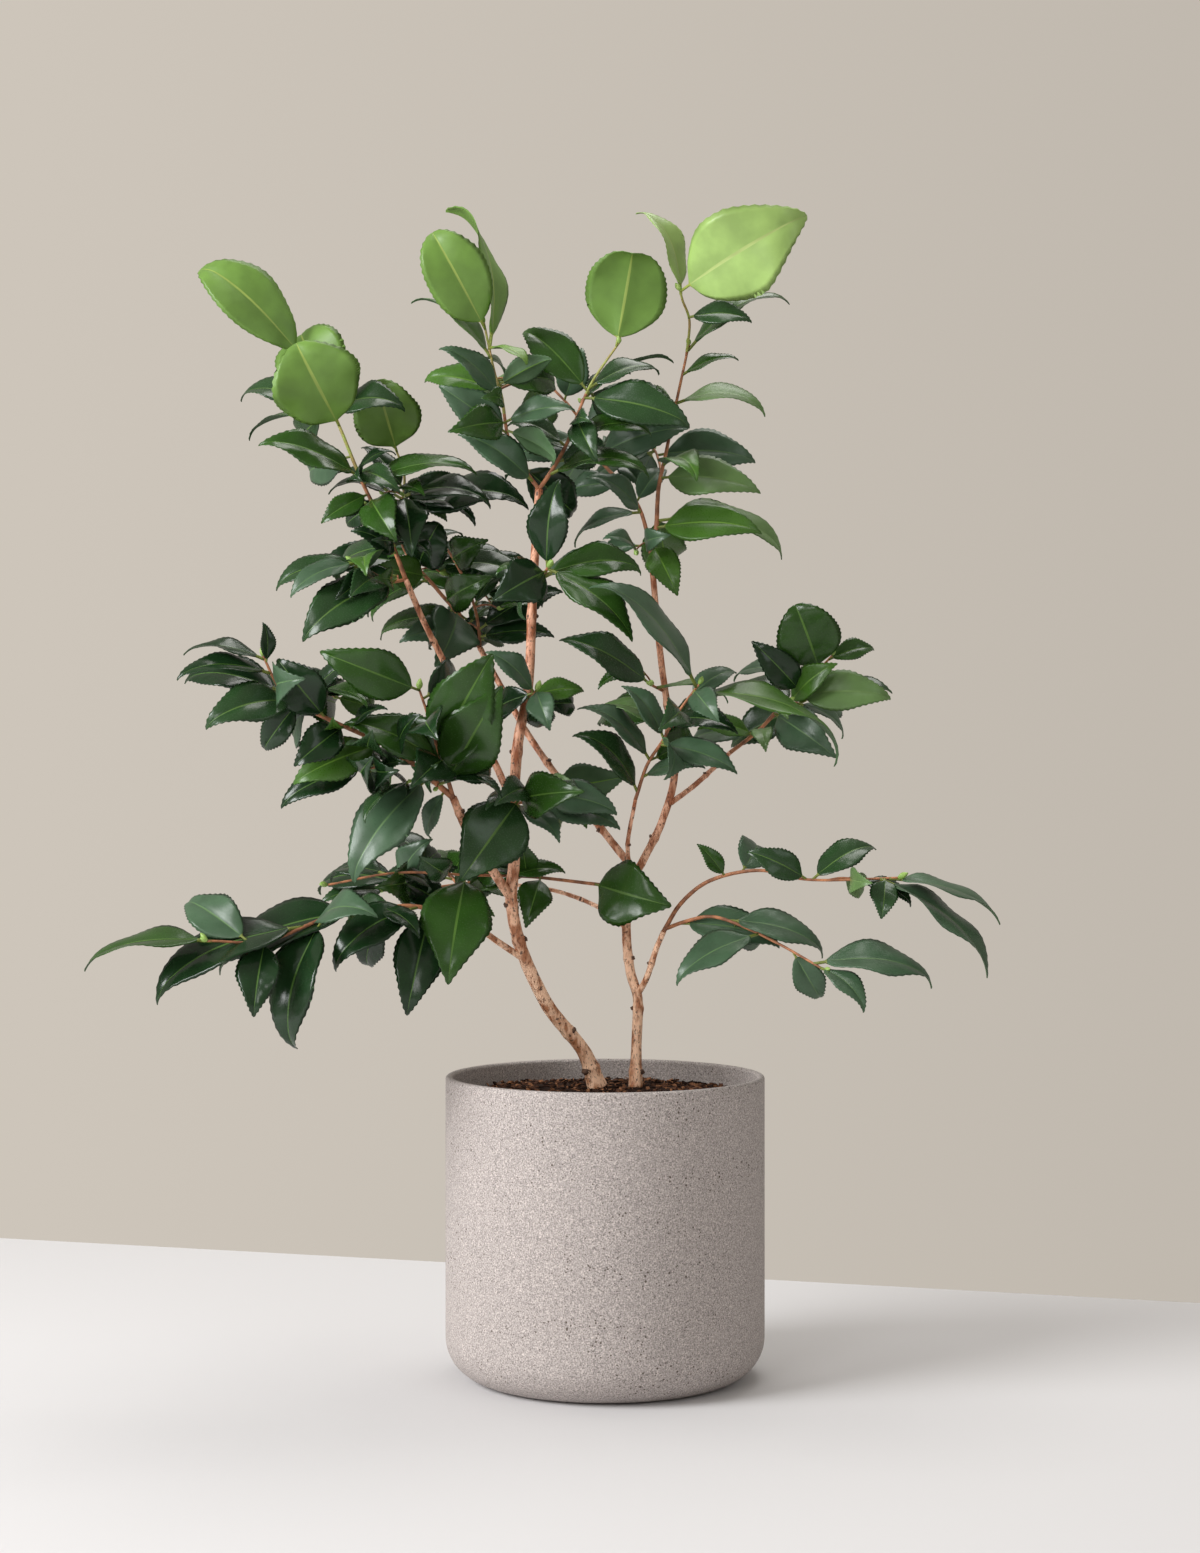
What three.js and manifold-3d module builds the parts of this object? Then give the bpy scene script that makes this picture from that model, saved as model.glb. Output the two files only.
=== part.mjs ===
// A young camellia shrub in its round planter. Millimetres, +Z up, the planter stands on z = 0.
import * as THREE from 'three';
import { mergeVertices } from 'three/addons/utils/BufferGeometryUtils.js';
import Module from 'manifold-3d';

const wasm = await Module();
wasm.setup();

/* ---------- driving dimensions ---------- */

const gap = 0.3; // between pieces that touch

const pot = {
  width: 250, height: 236, wall: 6, floor: 9, corner: 33, rim: 2.4, steps: 32,
  footSteps: 5, rimSteps: 2, insideSteps: 3, insideTurn: 65, floorEdge: 6,
};
const soil = { centreDrop: 12, edgeDrop: 16.5, plateau: 46, crest: 1.2, footEdge: 4 };
const ground = pot.height - soil.centreDrop; // the level at which the stems leave the soil

const limbSides = { stem: 8, bough: 6, twig: 3 };
const limbStep = { stem: 23, bough: 20, twig: 21 }; // spacing of the rings along a limb

const leafShape = {
  petiole: 0.09, // share of the leaf's length that is stalk
  width: 0.43, // blade width to leaf length
  breadth: 0.33, // the same, as it looks from the front
  roundFrom: 0.65, // leaves wider than this are round, with no drawn-out tip
  longFrom: 84, // longer leaves take one more station
  arch: 66, // degrees that the midrib turns from foot to tip
  archVary: 18,
  archStart: 0.36, // share of the arch by which the midrib leaves its foot upwards
  archPower: 1.8, // above 1 the midrib bends most near its tip
  fold: 6, // degrees that each half rises from the midrib
  keel: 1.3, // how far the midrib stands out under the blade
  stalk: 1.1, // half width of the stalk
};
const bladeOutline = { rise: 0.8, fullness: 0.85, tipFrom: 0.5, tipCut: 0.42, roundRise: 0.95, roundness: 0.68 };
const leafClearance = { ownMass: 2, otherMass: 6, limb: 1.8, freeFrom: 0.34, lastFoot: 0.985 };
const leafTries = { count: 10, turn: 3, roll: 4, steepest: 86 };
const fillLeaf = {
  first: 0.12, last: 0.93, placeVary: 0.04, turn: 180, splay: 22, dip: -6, tilt: 22,
  size: 76, vary: 0.18, breadth: 0.24, breadthVary: 0.16, youngGap: 0.06,
};
const sideTwig = {
  first: 0.3, last: 0.9, placeVary: 0.08, length: 58, lengthVary: 0.2, rise: 14, riseVary: 18, splay: 28,
  foot: 1.15, tip: 0.8, leaves: 3, leafTurn: 70, tipDip: -8, tipVary: 15, clearance: 5, tries: 6, look: 0.08,
};
const sideTwigSag = [[0, 0], [0.35, 1.5], [0.7, 1], [1, -2]]; // share of its length, lift over its chord

/* ---------- limbs: routes in mm, radii at foot and tip ---------- */

const limbs = [
  {
    name: 'stem_left', kind: 'stem', foot: 5.6, tip: 3.1, flare: 2.6, flareReach: 0.13,
    route: [[-6, 18, ground + gap], [-17, 13, 253], [-45, 4, 290], [-65, -8, 334], [-73, -15, 372],
      [-71, -15, 405], [-71, -12, 452], [-68, -8, 497], [-60, -4, 542], [-57, 2, 609], [-54, 6, 665],
      [-52, 8, 696]],
  },
  {
    name: 'stem_right', kind: 'stem', foot: 4.3, tip: 2.4, flare: 1.5, flareReach: 0.1,
    route: [[24, 18, ground + gap], [25, 20, 261], [26, 24, 293], [20, 27, 316], [17, 32, 349],
      [20, 37, 383], [30, 41, 402], [46, 45, 435], [56, 48, 475], [50, 48, 527], [44, 46, 571],
      [37, 44, 647]],
  },
  {
    name: 'bough_low_left', foot: 2.7, tip: 2,
    route: [[-66, -8, 329], [-84, -20, 342], [-107, -36, 359], [-130, -50, 368]],
  },
  {
    name: 'bough_left', foot: 3.8, tip: 2.9,
    route: [[-73, -15, 375], [-90, -34, 402], [-105, -50, 427], [-116, -62, 454]],
  },
  {
    name: 'bough_upper_left', foot: 2.9, tip: 2.2,
    route: [[-72, -12, 447], [-85, 4, 477], [-106, 14, 516], [-127, 16, 560], [-143, 12, 592],
      [-157, 8, 625]],
  },
  {
    name: 'bough_crossing', foot: 3.1, tip: 2.3,
    route: [[24, 39, 394], [-3, 52, 428], [-36, 64, 467], [-61, 74, 502], [-80, 82, 535], [-102, 88, 575]],
  },
  {
    name: 'bough_back_low', foot: 1.9, tip: 1.5,
    route: [[17, 32, 349], [-3, 48, 364], [-38, 66, 377], [-81, 78, 383]],
  },
  { name: 'bough_low_thin', foot: 1.6, tip: 1.4, route: [[18, 35, 373], [8, 30, 380], [-3, 26, 384]] },
  {
    name: 'bough_right_low', foot: 2.6, tip: 2.1,
    route: [[25, 25, 296], [33, 17, 311], [40, 10, 333], [46, 6, 348]],
  },
  {
    name: 'bough_right_mid', foot: 2.3, tip: 1.8,
    route: [[53, 46, 449], [71, 58, 462], [87, 66, 476], [101, 72, 489]],
  },
  { name: 'bough_right_inner', foot: 1.9, tip: 1.5, route: [[21, 38, 389], [18, 26, 416], [24, 12, 452]] },
];

/* ---------- foliage: each mass is its shoots, each shoot its route, its radii and its leaves ----------
   A leaf that shapes the outline is [place along the shoot, heading, rise, length, breadth].
   Its breadth is the width ratio that it shows to the front, under zero where it shows its underside.
   Headings are degrees from +X towards +Y, rises are degrees above the level.
   fill is how many more leaves the rule adds, rank the side of the first one, twigs the number of side twigs.
   youngFrom is the share of the shoot from which it is new growth; isBlunt gives that growth blunt leaves. */

const masses = [
  {
    name: 'foliage_low_left', seed: 11,
    shoots: [{
      route: [[-130, -50, 368], [-157, -58, 371], [-208, -76, 364], [-253, -98, 347], [-296, -116, 348]],
      foot: 1.9, tip: 0.9, fill: 3, rank: 120, twigs: 1,
      leaves: [[0.04, -125, -70, 90, 0.42], [0.13, -155, -35, 95], [0.3, 115, -55, 65],
        [0.4, 175, -23, 128, 0.24], [0.53, -135, -75, 114, 0.36], [0.6, -168, -22, 134, 0.18],
        [0.76, -100, -62, 66, 0.5], [0.98, 178, -12, 104, 0.14]],
    }],
  },
  {
    name: 'foliage_low_thin', seed: 12,
    shoots: [{
      route: [[-3, 26, 384], [-52, 20, 390], [-79, 4, 392], [-107, -34, 394], [-160, -46, 396],
        [-213, -54, 387]],
      foot: 1.4, tip: 0.8, fill: 3, rank: 140, twigs: 0,
      leaves: [[0.02, -35, -12, 82, 0.62], [0.2, -110, -50, 54, 0.5], [0.26, -100, 55, 40, 0.5],
        [0.6, -102, -64, 104, 0.52], [0.66, -120, 20, 48, 0.46]],
    }],
  },
  {
    name: 'foliage_back_low', seed: 13,
    shoots: [{
      route: [[-81, 78, 383], [-105, 76, 384], [-147, 70, 379], [-179, 62, 378]],
      foot: 1.4, tip: 0.9, fill: 4, rank: 90, twigs: 2,
      leaves: [[0.97, -160, -10, 60, 0.3], [0.35, 125, -45, 65]],
    }],
  },
  {
    name: 'foliage_left', seed: 14,
    shoots: [{
      route: [[-116, -62, 454], [-137, -72, 472], [-163, -80, 492], [-218, -98, 518], [-242, -106, 535],
        [-255, -110, 560]],
      foot: 2.5, tip: 0.9, fill: 4, rank: 100, twigs: 1,
      leaves: [[0.7, -152, -17, 84, 0.34], [0.06, 135, -65, 45], [0.17, -155, -52, 108, 0.36],
        [0.42, -165, -24, 78, 0.4], [0.52, -140, -34, 60, 0.5], [0.57, -150, 52, 62, 0.6],
        [0.68, 150, -48, 52, 0.46], [0.78, 160, 6, 90, 0.24], [0.9, -160, -4, 76, 0.18],
        [0.98, 175, 4, 66, 0.16], [0.96, -135, 84, 32, 0.3]],
    }, {
      route: [[-152, -77, 484], [-167, -76, 478], [-183, -74, 476]],
      foot: 1.3, tip: 0.9, fill: 4, rank: 110, twigs: 0,
      leaves: [[0.95, -170, -25, 76]],
    }, {
      route: [[-116, -62, 454], [-121, -76, 474], [-126, -84, 490], [-134, -90, 518], [-140, -92, 536]],
      foot: 1.8, tip: 0.9, fill: 5, rank: 80, twigs: 0,
      leaves: [[0.16, -40, 52, 96, 0.52], [0.3, 150, 50, 60, 0.5], [0.36, -165, 22, 86],
        [0.48, -30, 56, 92, 0.56], [0.98, -160, 20, 88, 0.42]],
    }],
  },
  {
    name: 'foliage_left_trunk', seed: 16,
    shoots: [{
      route: [[-70, -14, 447], [-67, -26, 452], [-65, -42, 454]],
      foot: 1.4, tip: 1.1, fill: 1, rank: -30, twigs: 0,
      leaves: [[0.9, -148, -50, 88, 0.6]],
    }],
  },
  {
    name: 'foliage_centre_low', seed: 31,
    shoots: [{
      route: [[-69, -10, 449], [-54, 8, 452], [-40, 26, 460]],
      foot: 1.3, tip: 0.9, fill: 2, rank: 20, twigs: 0,
      leaves: [[0.6, -15, -12, 72, 0.36], [0.95, 15, 10, 68, -0.5], [0.9, -20, -44, 46, 0.36]],
    }],
  },
  {
    name: 'foliage_left_tuft', seed: 17,
    shoots: [{
      route: [[-63, -6, 528], [-58, -20, 532], [-53, -30, 537]],
      foot: 1.3, tip: 0.9, fill: 1, rank: 130, twigs: 0,
      leaves: [[0.96, -65, -50, 46, 0.5], [0.8, -150, 36, 56, 0.3], [0.6, 25, 5, 48]],
    }],
  },
  {
    name: 'foliage_centre', seed: 18,
    shoots: [{
      route: [[-56, 2, 612], [-50, -16, 623], [-44, -30, 632]],
      foot: 1.5, tip: 1.2, fill: 1, rank: 40, twigs: 0,
      leaves: [[0.92, -35, 80, 76, 0.4], [0.85, -140, -26, 64, 0.62], [0.95, -15, -40, 94, 0.3],
        [0.7, 10, 2, 86, 0.28]],
    }],
  },
  {
    name: 'foliage_upper_left', seed: 19,
    shoots: [{
      route: [[-157, 8, 625], [-170, 4, 659], [-190, -2, 700], [-208, -5, 744], [-224, 9, 778],
        [-240, 14, 802]],
      foot: 1.9, tip: 0.9, fill: 3, rank: 110, twigs: 1, youngFrom: 0.58, isBlunt: true,
      leaves: [[0.98, -178, 42, 116, 0.38], [0.6, -130, 52, 82, 0.86], [0.68, 130, 56, 84, 0.7],
        [0.12, -140, 20, 52, 0.3], [0.36, -158, -32, 48, 0.4], [0.42, -165, 17, 88, 0.26],
        [0.4, -10, 4, 98, 0.2], [0.34, -60, -38, 66, 0.5], [0.44, -35, -32, 56, 0.26]],
    }],
  },
  {
    name: 'foliage_upper_left_side', seed: 20,
    shoots: [{
      route: [[-157, 8, 625], [-170, 0, 623], [-183, -8, 630], [-196, -16, 637]],
      foot: 1.4, tip: 0.9, fill: 2, rank: 110, twigs: 0,
      leaves: [[0.2, -150, -32, 104, 0.36], [0.5, -125, -35, 58, 0.5], [0.8, 178, -14, 78, 0.24],
        [0.96, -165, -36, 64, 0.24]],
    }],
  },
  {
    name: 'foliage_back_left', seed: 21,
    shoots: [{
      route: [[-102, 88, 575], [-121, 88, 604], [-138, 84, 624], [-165, 74, 660], [-162, 64, 711],
        [-169, 60, 735]],
      foot: 2, tip: 0.9, fill: 5, rank: 150, twigs: 2, youngFrom: 0.86,
      leaves: [[0.1, -145, -10, 72], [0.2, -110, -45, 82, 0.56], [0.46, -140, 5, 56, 0.5],
        [0.5, -60, 40, 56, 0.7], [0.58, -165, 40, 60], [0.68, -20, 2, 124, 0.26],
        [0.76, 165, 45, 55, 0.34], [0.97, -120, 62, 66, 0.84]],
    }],
  },
  {
    name: 'foliage_back_centre', seed: 22,
    shoots: [{
      route: [[-102, 88, 575], [-103, 88, 590], [-107, 92, 610], [-117, 96, 635], [-130, 98, 657],
        [-142, 98, 667]],
      foot: 1.5, tip: 0.9, fill: 5, rank: 170, twigs: 2,
      leaves: [[0.12, -10, 0, 66], [0.2, 5, 25, 80], [0.55, 15, 20, 62], [0.72, -50, 15, 56, 0.5],
        [0.96, 160, -20, 50]],
    }],
  },
  {
    name: 'foliage_top_left', seed: 23,
    shoots: [{
      route: [[-52, 8, 696], [-65, 6, 714], [-76, 2, 736], [-81, -2, 767], [-87, -3, 788], [-95, -5, 826]],
      foot: 1.8, tip: 0.9, fill: 3, rank: 70, twigs: 1, youngFrom: 0.87, isBlunt: true,
      leaves: [[0.06, -165, 24, 76, 0.3], [0.42, -160, 32, 70, 0.44], [0.48, -12, 8, 62, 0.36],
        [0.44, -35, -32, 60, -0.24], [0.62, -165, 30, 66, 0.36], [0.66, 160, 10, 70, 0.32],
        [0.7, -20, 22, 52, -0.36], [0.86, 170, 36, 86, 0.18], [0.9, -20, -42, 42, 0.2],
        [0.97, -150, 57, 94, 0.54], [0.89, 150, 71, 132, 0.12]],
    }],
  },
  {
    name: 'foliage_top_middle', seed: 24,
    shoots: [{
      route: [[-52, 8, 696], [-39, 10, 716], [-28, 10, 737], [-21, 10, 757], [-10, 8, 781], [11, 4, 811]],
      foot: 1.8, tip: 0.9, fill: 3, rank: 60, twigs: 1, youngFrom: 0.9,
      leaves: [[0.74, 168, 24, 84, 0.34], [0.12, -10, -3, 90, 0.22], [0.38, -10, 2, 74, 0.22],
        [0.34, -170, 20, 56], [0.56, -60, -50, 56, 0.4], [0.7, -12, -16, 94, 0.38],
        [0.76, 20, 14, 68, 0.26], [0.98, -70, 62, 84, -0.8]],
    }],
  },
  {
    name: 'foliage_upper_middle', seed: 25,
    shoots: [{
      route: [[37, 44, 647], [33, 52, 669], [27, 60, 688], [15, 68, 707], [-2, 76, 725], [-23, 88, 765],
        [-49, 98, 795]],
      foot: 1.8, tip: 1, fill: 2, rank: 150, twigs: 1,
      leaves: [[0.28, -160, 30, 62], [0.36, 45, 40, 50], [0.5, 155, -10, 60], [0.76, 25, 50, 68],
        [0.9, -20, 70, 50, 0.56], [0.97, -155, 35, 38]],
    }],
  },
  {
    name: 'foliage_right_crown', seed: 26,
    shoots: [{
      route: [[37, 44, 647], [41, 46, 669], [43, 48, 701], [49, 48, 730], [57, 46, 769], [67, 38, 815]],
      foot: 2.2, tip: 1, fill: 3, rank: 100, twigs: 2,
      leaves: [[0.08, -50, -55, 56, 0.5], [0.2, -14, -4, 92, 0.36], [0.24, 15, -15, 122, 0.2],
        [0.46, -16, -10, 90, 0.38], [0.8, -10, -10, 82, 0.22], [0.76, -160, 15, 46, 0.3],
        [0.9, -15, 14, 50, 0.24], [0.98, 0, 26, 100, 0.18]],
    }, {
      route: [[65, 40, 806], [67, 24, 831], [61, 8, 845], [59, 2, 852]],
      foot: 1.1, tip: 0.9, fill: 0, rank: 0, twigs: 0, youngFrom: 0.01,
      leaves: [[0.96, -20, 27, 131, 0.55], [0.86, 165, 62, 84, 0.2], [0.4, -12, -6, 56, 0.36]],
    }],
  },
  {
    name: 'foliage_right_tuft', seed: 27,
    shoots: [{
      route: [[46, 47, 539], [41, 38, 541], [36, 26, 543]],
      foot: 1.3, tip: 0.9, fill: 1, rank: 40, twigs: 0,
      leaves: [[0.92, -170, 26, 88, 0.35]],
    }],
  },
  {
    name: 'foliage_right_inner', seed: 28,
    shoots: [{
      route: [[24, 12, 452], [33, 2, 479], [45, -6, 498], [57, -14, 520], [73, -24, 542]],
      foot: 1.5, tip: 0.9, fill: 2, rank: 80, twigs: 1,
      leaves: [[0.05, -165, 40, 78, 0.26], [0.16, -20, 8, 56, 0.24], [0.3, -170, 35, 78, 0.26],
        [0.46, -15, -20, 70, 0.34], [0.52, -165, 50, 58], [0.88, 25, 25, 52], [0.94, -60, -35, 48, 0.5],
        [0.97, -160, 42, 126, 0.2], [0.92, 3, -26, 144, 0.16]],
    }],
  },
  {
    name: 'foliage_right_mid', seed: 29,
    shoots: [{
      route: [[101, 72, 489], [122, 78, 505], [137, 84, 519], [160, 90, 541], [186, 92, 569]],
      foot: 1.7, tip: 0.9, fill: 3, rank: 150, twigs: 1,
      leaves: [[0.24, -155, 5, 56, 0.3], [0.32, -85, -30, 42], [0.62, -35, -50, 42],
        [0.7, -6, -2, 86, 0.4], [0.74, -150, 40, 68, 0.4], [0.9, -132, 58, 64, 0.86],
        [0.97, 15, 12, 46, 0.36]],
    }],
  },
  {
    name: 'foliage_right_low', seed: 30,
    shoots: [{
      route: [[46, 6, 348], [60, 0, 371], [83, -8, 389], [120, -20, 397], [160, -30, 390], [226, -40, 392]],
      foot: 1.9, tip: 0.9, fill: 1, rank: 100, twigs: 0,
      leaves: [[0.46, -165, 48, 36, 0.4], [0.78, -168, 24, 56, 0.4], [0.8, 25, 22, 68, 0.28],
        [0.97, -105, -58, 40, 0.56], [0.98, 2, -22, 98, 0.12], [0.96, -14, -42, 118, 0.14]],
    }, {
      route: [[47, 6, 350], [64, -8, 357], [83, -18, 361], [104, -28, 355], [134, -42, 341],
        [168, -58, 322]],
      foot: 1.6, tip: 0.9, fill: 1, rank: 80, twigs: 0,
      leaves: [[0.14, -10, -12, 86, 0.32], [0.52, 8, -32, 88, 0.18], [0.7, -165, -29, 82, 0.28],
        [0.86, 45, -50, 54, 0.44], [0.95, 5, -11, 104, 0.22], [0.98, -45, -36, 58, 0.24]],
    }],
  },
];

/* ---------- small tools ---------- */

const weld = 1e-4; // points closer than this are one point
const tangentReach = 0.004; // share of a curve over which its direction is taken
const leastAcross = 0.2; // a shorter cross product has no steady direction

const radians = THREE.MathUtils.degToRad;
const vector = (point) => new THREE.Vector3(...point);

// A Park-Miller dice: the same seed always gives the same plant.
function makeDice(seed) {
  let state = seed * 7919;
  const next = () => {
    state = (state * 16807) % 2147483647;
    return state / 2147483647;
  };
  const spread = (reach) => (2 * next() - 1) * reach;
  return { next, spread };
}

function curveThrough(route) {
  return new THREE.CatmullRomCurve3(route.map(vector), false, 'catmullrom', 0.5);
}

function directionAt(curve, share) {
  const ahead = curve.getPoint(Math.min(1, share + tangentReach));
  return ahead.sub(curve.getPoint(Math.max(0, share - tangentReach))).normalize();
}

function routeLength(route) {
  let length = 0;
  for (let i = 1; i < route.length; i += 1) {
    length += vector(route[i]).distanceTo(vector(route[i - 1]));
  }
  return length;
}

/* ---------- closed meshes and solids ---------- */

// Joins rings that all have the same number of points into a closed skin. A ring of one point is a tip.
function skin(rings) {
  const points = [];
  const faces = [];
  const starts = [];
  for (const ring of rings) {
    starts.push(points.length);
    points.push(...ring);
  }
  const cap = (start, count, flip) => {
    for (let i = 1; i < count - 1; i += 1) {
      faces.push(flip ? [start, start + i + 1, start + i] : [start, start + i, start + i + 1]);
    }
  };
  for (let r = 0; r < rings.length - 1; r += 1) {
    const [low, high] = [starts[r], starts[r + 1]];
    const sides = rings[r].length;
    for (let i = 0; i < sides; i += 1) {
      const j = (i + 1) % sides;
      if (rings[r + 1].length === 1) {
        faces.push([low + i, low + j, high]);
      } else {
        faces.push([low + i, low + j, high + j], [low + i, high + j, high + i]);
      }
    }
  }
  cap(starts[0], rings[0].length, true);
  cap(starts.at(-1), rings.at(-1).length, false);
  const geometry = new THREE.BufferGeometry();
  geometry.setAttribute('position', new THREE.Float32BufferAttribute(points.flatMap((p) => p.toArray()), 3));
  geometry.setIndex(faces.flat());
  return geometry;
}

function toSolid(geometry) {
  const solid = new wasm.Manifold(new wasm.Mesh({
    numProp: 3,
    vertProperties: new Float32Array(geometry.attributes.position.array),
    triVerts: new Uint32Array(geometry.index.array),
  }));
  if (solid.status() !== 'NoError' && solid.status().value) {
    throw new Error('a piece is not a closed solid');
  }
  return solid.volume() < 0 ? turnOut(geometry) : solid;
}

function turnOut(geometry) {
  const index = Array.from(geometry.index.array);
  for (let i = 0; i < index.length; i += 3) {
    [index[i + 1], index[i + 2]] = [index[i + 2], index[i + 1]];
  }
  geometry.setIndex(index);
  return toSolid(geometry);
}

// The body of a solid, without the scraps that a cut leaves or the hollows that a join seals.
function mainBody(solid) {
  const bodies = solid.decompose();
  bodies.sort((a, b) => b.volume() - a.volume());
  return bodies[0];
}

function toGeometry(solid) {
  const mesh = solid.getMesh();
  const geometry = new THREE.BufferGeometry();
  geometry.setAttribute('position', new THREE.BufferAttribute(new Float32Array(mesh.vertProperties), 3));
  geometry.setIndex(new THREE.BufferAttribute(new Uint32Array(mesh.triVerts), 1));
  geometry.computeVertexNormals();
  return geometry;
}

function joinAll(solids) {
  return solids.reduce((joined, solid) => joined.add(solid));
}

/* ---------- limbs ---------- */

function limbRadius(limb, share) {
  const flare = limb.flare ? limb.flare * Math.max(0, 1 - share / limb.flareReach) ** 2 : 0;
  return limb.foot + (limb.tip - limb.foot) * share + flare;
}

// Rings at right angles to the route. swell makes a fatter copy, for cutting a neighbour clear.
function limbRings(limb, sides, step, swell = 0) {
  const curve = curveThrough(limb.route);
  const count = Math.max(2, Math.ceil(routeLength(limb.route) / step));
  const rings = [];
  let across = null;
  for (let i = 0; i <= count; i += 1) {
    const share = i / count;
    const upright = i === 0 && limb.kind === 'stem';
    const along = upright ? new THREE.Vector3(0, 0, 1) : directionAt(curve, share);
    const centre = curve.getPoint(share);
    if (i === 0) {
      centre.addScaledVector(along, -swell);
      across = new THREE.Vector3(1, 0, 0).cross(along);
      if (across.length() < leastAcross) across = new THREE.Vector3(0, 1, 0).cross(along);
    }
    if (i === count) centre.addScaledVector(along, swell);
    across.addScaledVector(along, -across.dot(along)).normalize();
    const beside = along.clone().cross(across);
    const radius = limbRadius(limb, share) + swell;
    const ring = [];
    for (let s = 0; s < sides; s += 1) {
      const turn = (2 * Math.PI * s) / sides;
      ring.push(centre.clone()
        .addScaledVector(across, Math.cos(turn) * radius)
        .addScaledVector(beside, Math.sin(turn) * radius));
    }
    rings.push(ring);
  }
  return rings;
}

// A point on the straight pieces that a twig's solid is made of, so that a stalk's root is sunk in it.
function pointInTwig(twig, share) {
  const count = Math.max(2, Math.ceil(routeLength(twig.route) / limbStep.twig));
  const piece = Math.min(count - 1, Math.floor(share * count));
  const start = twig.curve.getPoint(piece / count);
  return start.lerp(twig.curve.getPoint((piece + 1) / count), share * count - piece);
}

function limbSolid(limb, kind, swell = 0) {
  return toSolid(skin(limbRings(limb, limbSides[kind], limbStep[kind], swell)));
}

/* ---------- leaves ---------- */

const spineSteps = 24;
const leafSampling = { rows: 16, columns: 7, stalk: [0.03, 0.06] }; // points by which a leaf is kept clear

// The roll about the chord that turns a leaf's face to the front by the cosine that is asked for.
function rollToFront(heading, rise, cosine) {
  const lengthwise = Math.sin(radians(heading)) * Math.sin(radians(rise));
  const crosswise = Math.cos(radians(heading));
  const middle = Math.atan2(crosswise, lengthwise);
  const off = Math.acos(Math.max(-1, Math.min(1, cosine / Math.hypot(lengthwise, crosswise))));
  const [one, other] = [middle - off, middle + off];
  return THREE.MathUtils.radToDeg(Math.abs(one) < Math.abs(other) ? one : other);
}

function bendAt(leaf, share) {
  return radians(leaf.arch) * (leafShape.archStart - share ** leafShape.archPower);
}

// The midrib: it leaves its foot above the chord and bends over towards the tip.
function leafSpine(leaf) {
  const [heading, rise, roll] = [leaf.heading, leaf.rise, leaf.roll].map(radians);
  const chord = new THREE.Vector3(
    Math.cos(heading) * Math.cos(rise),
    Math.sin(heading) * Math.cos(rise),
    Math.sin(rise),
  );
  const side = new THREE.Vector3(-Math.sin(heading), Math.cos(heading), 0).applyAxisAngle(chord, roll);
  const face = chord.clone().cross(side);
  const points = [leaf.base.clone()];
  const faces = [];
  for (let i = 0; i <= spineSteps; i += 1) {
    const bend = bendAt(leaf, i / spineSteps);
    faces.push(face.clone().multiplyScalar(Math.cos(bend)).addScaledVector(chord, -Math.sin(bend)));
    if (i < spineSteps) {
      const middle = bendAt(leaf, (i + 0.5) / spineSteps);
      const step = leaf.length / spineSteps;
      points.push(points[i].clone()
        .addScaledVector(chord, Math.cos(middle) * step)
        .addScaledVector(face, Math.sin(middle) * step));
    }
  }
  return { points, faces, side };
}

// Half the blade's width at a share of the blade's length, as a share of its widest.
function bladeShape(share, isRound) {
  const { rise, fullness, tipFrom, tipCut, roundRise, roundness } = bladeOutline;
  if (isRound) return Math.sin(Math.PI * share ** roundRise) ** roundness;
  const towardsTip = Math.max(0, share - tipFrom) / (1 - tipFrom);
  return Math.sin(Math.PI * share ** rise) ** fullness * (1 - tipCut * towardsTip);
}

// A point on the leaf: along is the share of its whole length, across runs from -1 to 1.
function leafPoint(leaf, along, across) {
  const place = along * spineSteps;
  const i = Math.min(spineSteps - 1, Math.floor(place));
  const point = leaf.spine.points[i].clone().lerp(leaf.spine.points[i + 1], place - i);
  const face = leaf.spine.faces[Math.round(place)];
  const blade = (along - leafShape.petiole) / (1 - leafShape.petiole);
  const half = blade <= 0 ? 0 : (bladeShape(blade, leaf.isRound) * leaf.width * leaf.length) / 2;
  const fold = radians(leafShape.fold);
  point.addScaledVector(leaf.spine.side, across * half * Math.cos(fold));
  point.addScaledVector(face, Math.abs(across) * half * Math.sin(fold));
  return { point, face };
}

function leafSamples(leaf) {
  const { rows, columns, stalk } = leafSampling;
  const samples = stalk.map((along) => ({ ...leafPoint(leaf, along, 0), along }));
  for (let row = 1; row <= rows; row += 1) {
    const along = leafShape.petiole + ((1 - leafShape.petiole) * row) / rows;
    for (let column = 0; column < columns; column += 1) {
      samples.push({ ...leafPoint(leaf, along, (2 * column) / (columns - 1) - 1), along });
    }
  }
  return samples;
}

// Stations of the solid leaf, as shares of the blade's length, between the stalk and the tip.
const bladeStations = { long: [0.17, 0.45, 0.78], short: [0.26, 0.7] };

function leafSolid(leaf) {
  const ring = (along, stalk) => {
    const left = leafPoint(leaf, along, -1);
    const right = leafPoint(leaf, along, 1);
    const middle = leafPoint(leaf, along, 0);
    const side = leaf.spine.side;
    return [
      left.point.addScaledVector(side, -stalk),
      middle.point.addScaledVector(middle.face, -leafShape.keel),
      right.point.addScaledVector(side, stalk),
    ];
  };
  const rings = [ring(0, leafShape.stalk), ring(leafShape.petiole, leafShape.stalk)];
  for (const station of leaf.length > leafShape.longFrom ? bladeStations.long : bladeStations.short) {
    rings.push(ring(leafShape.petiole + (1 - leafShape.petiole) * station, 0));
  }
  rings.push([leafPoint(leaf, 1, 0).point]);
  return toSolid(skin(rings));
}

/* ---------- growth ---------- */

const noteStep = 5; // spacing of the points by which limbs are kept clear
const placedLeaves = [];
const placedPoints = []; // points along every limb and twig, with their radius and owner

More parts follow.
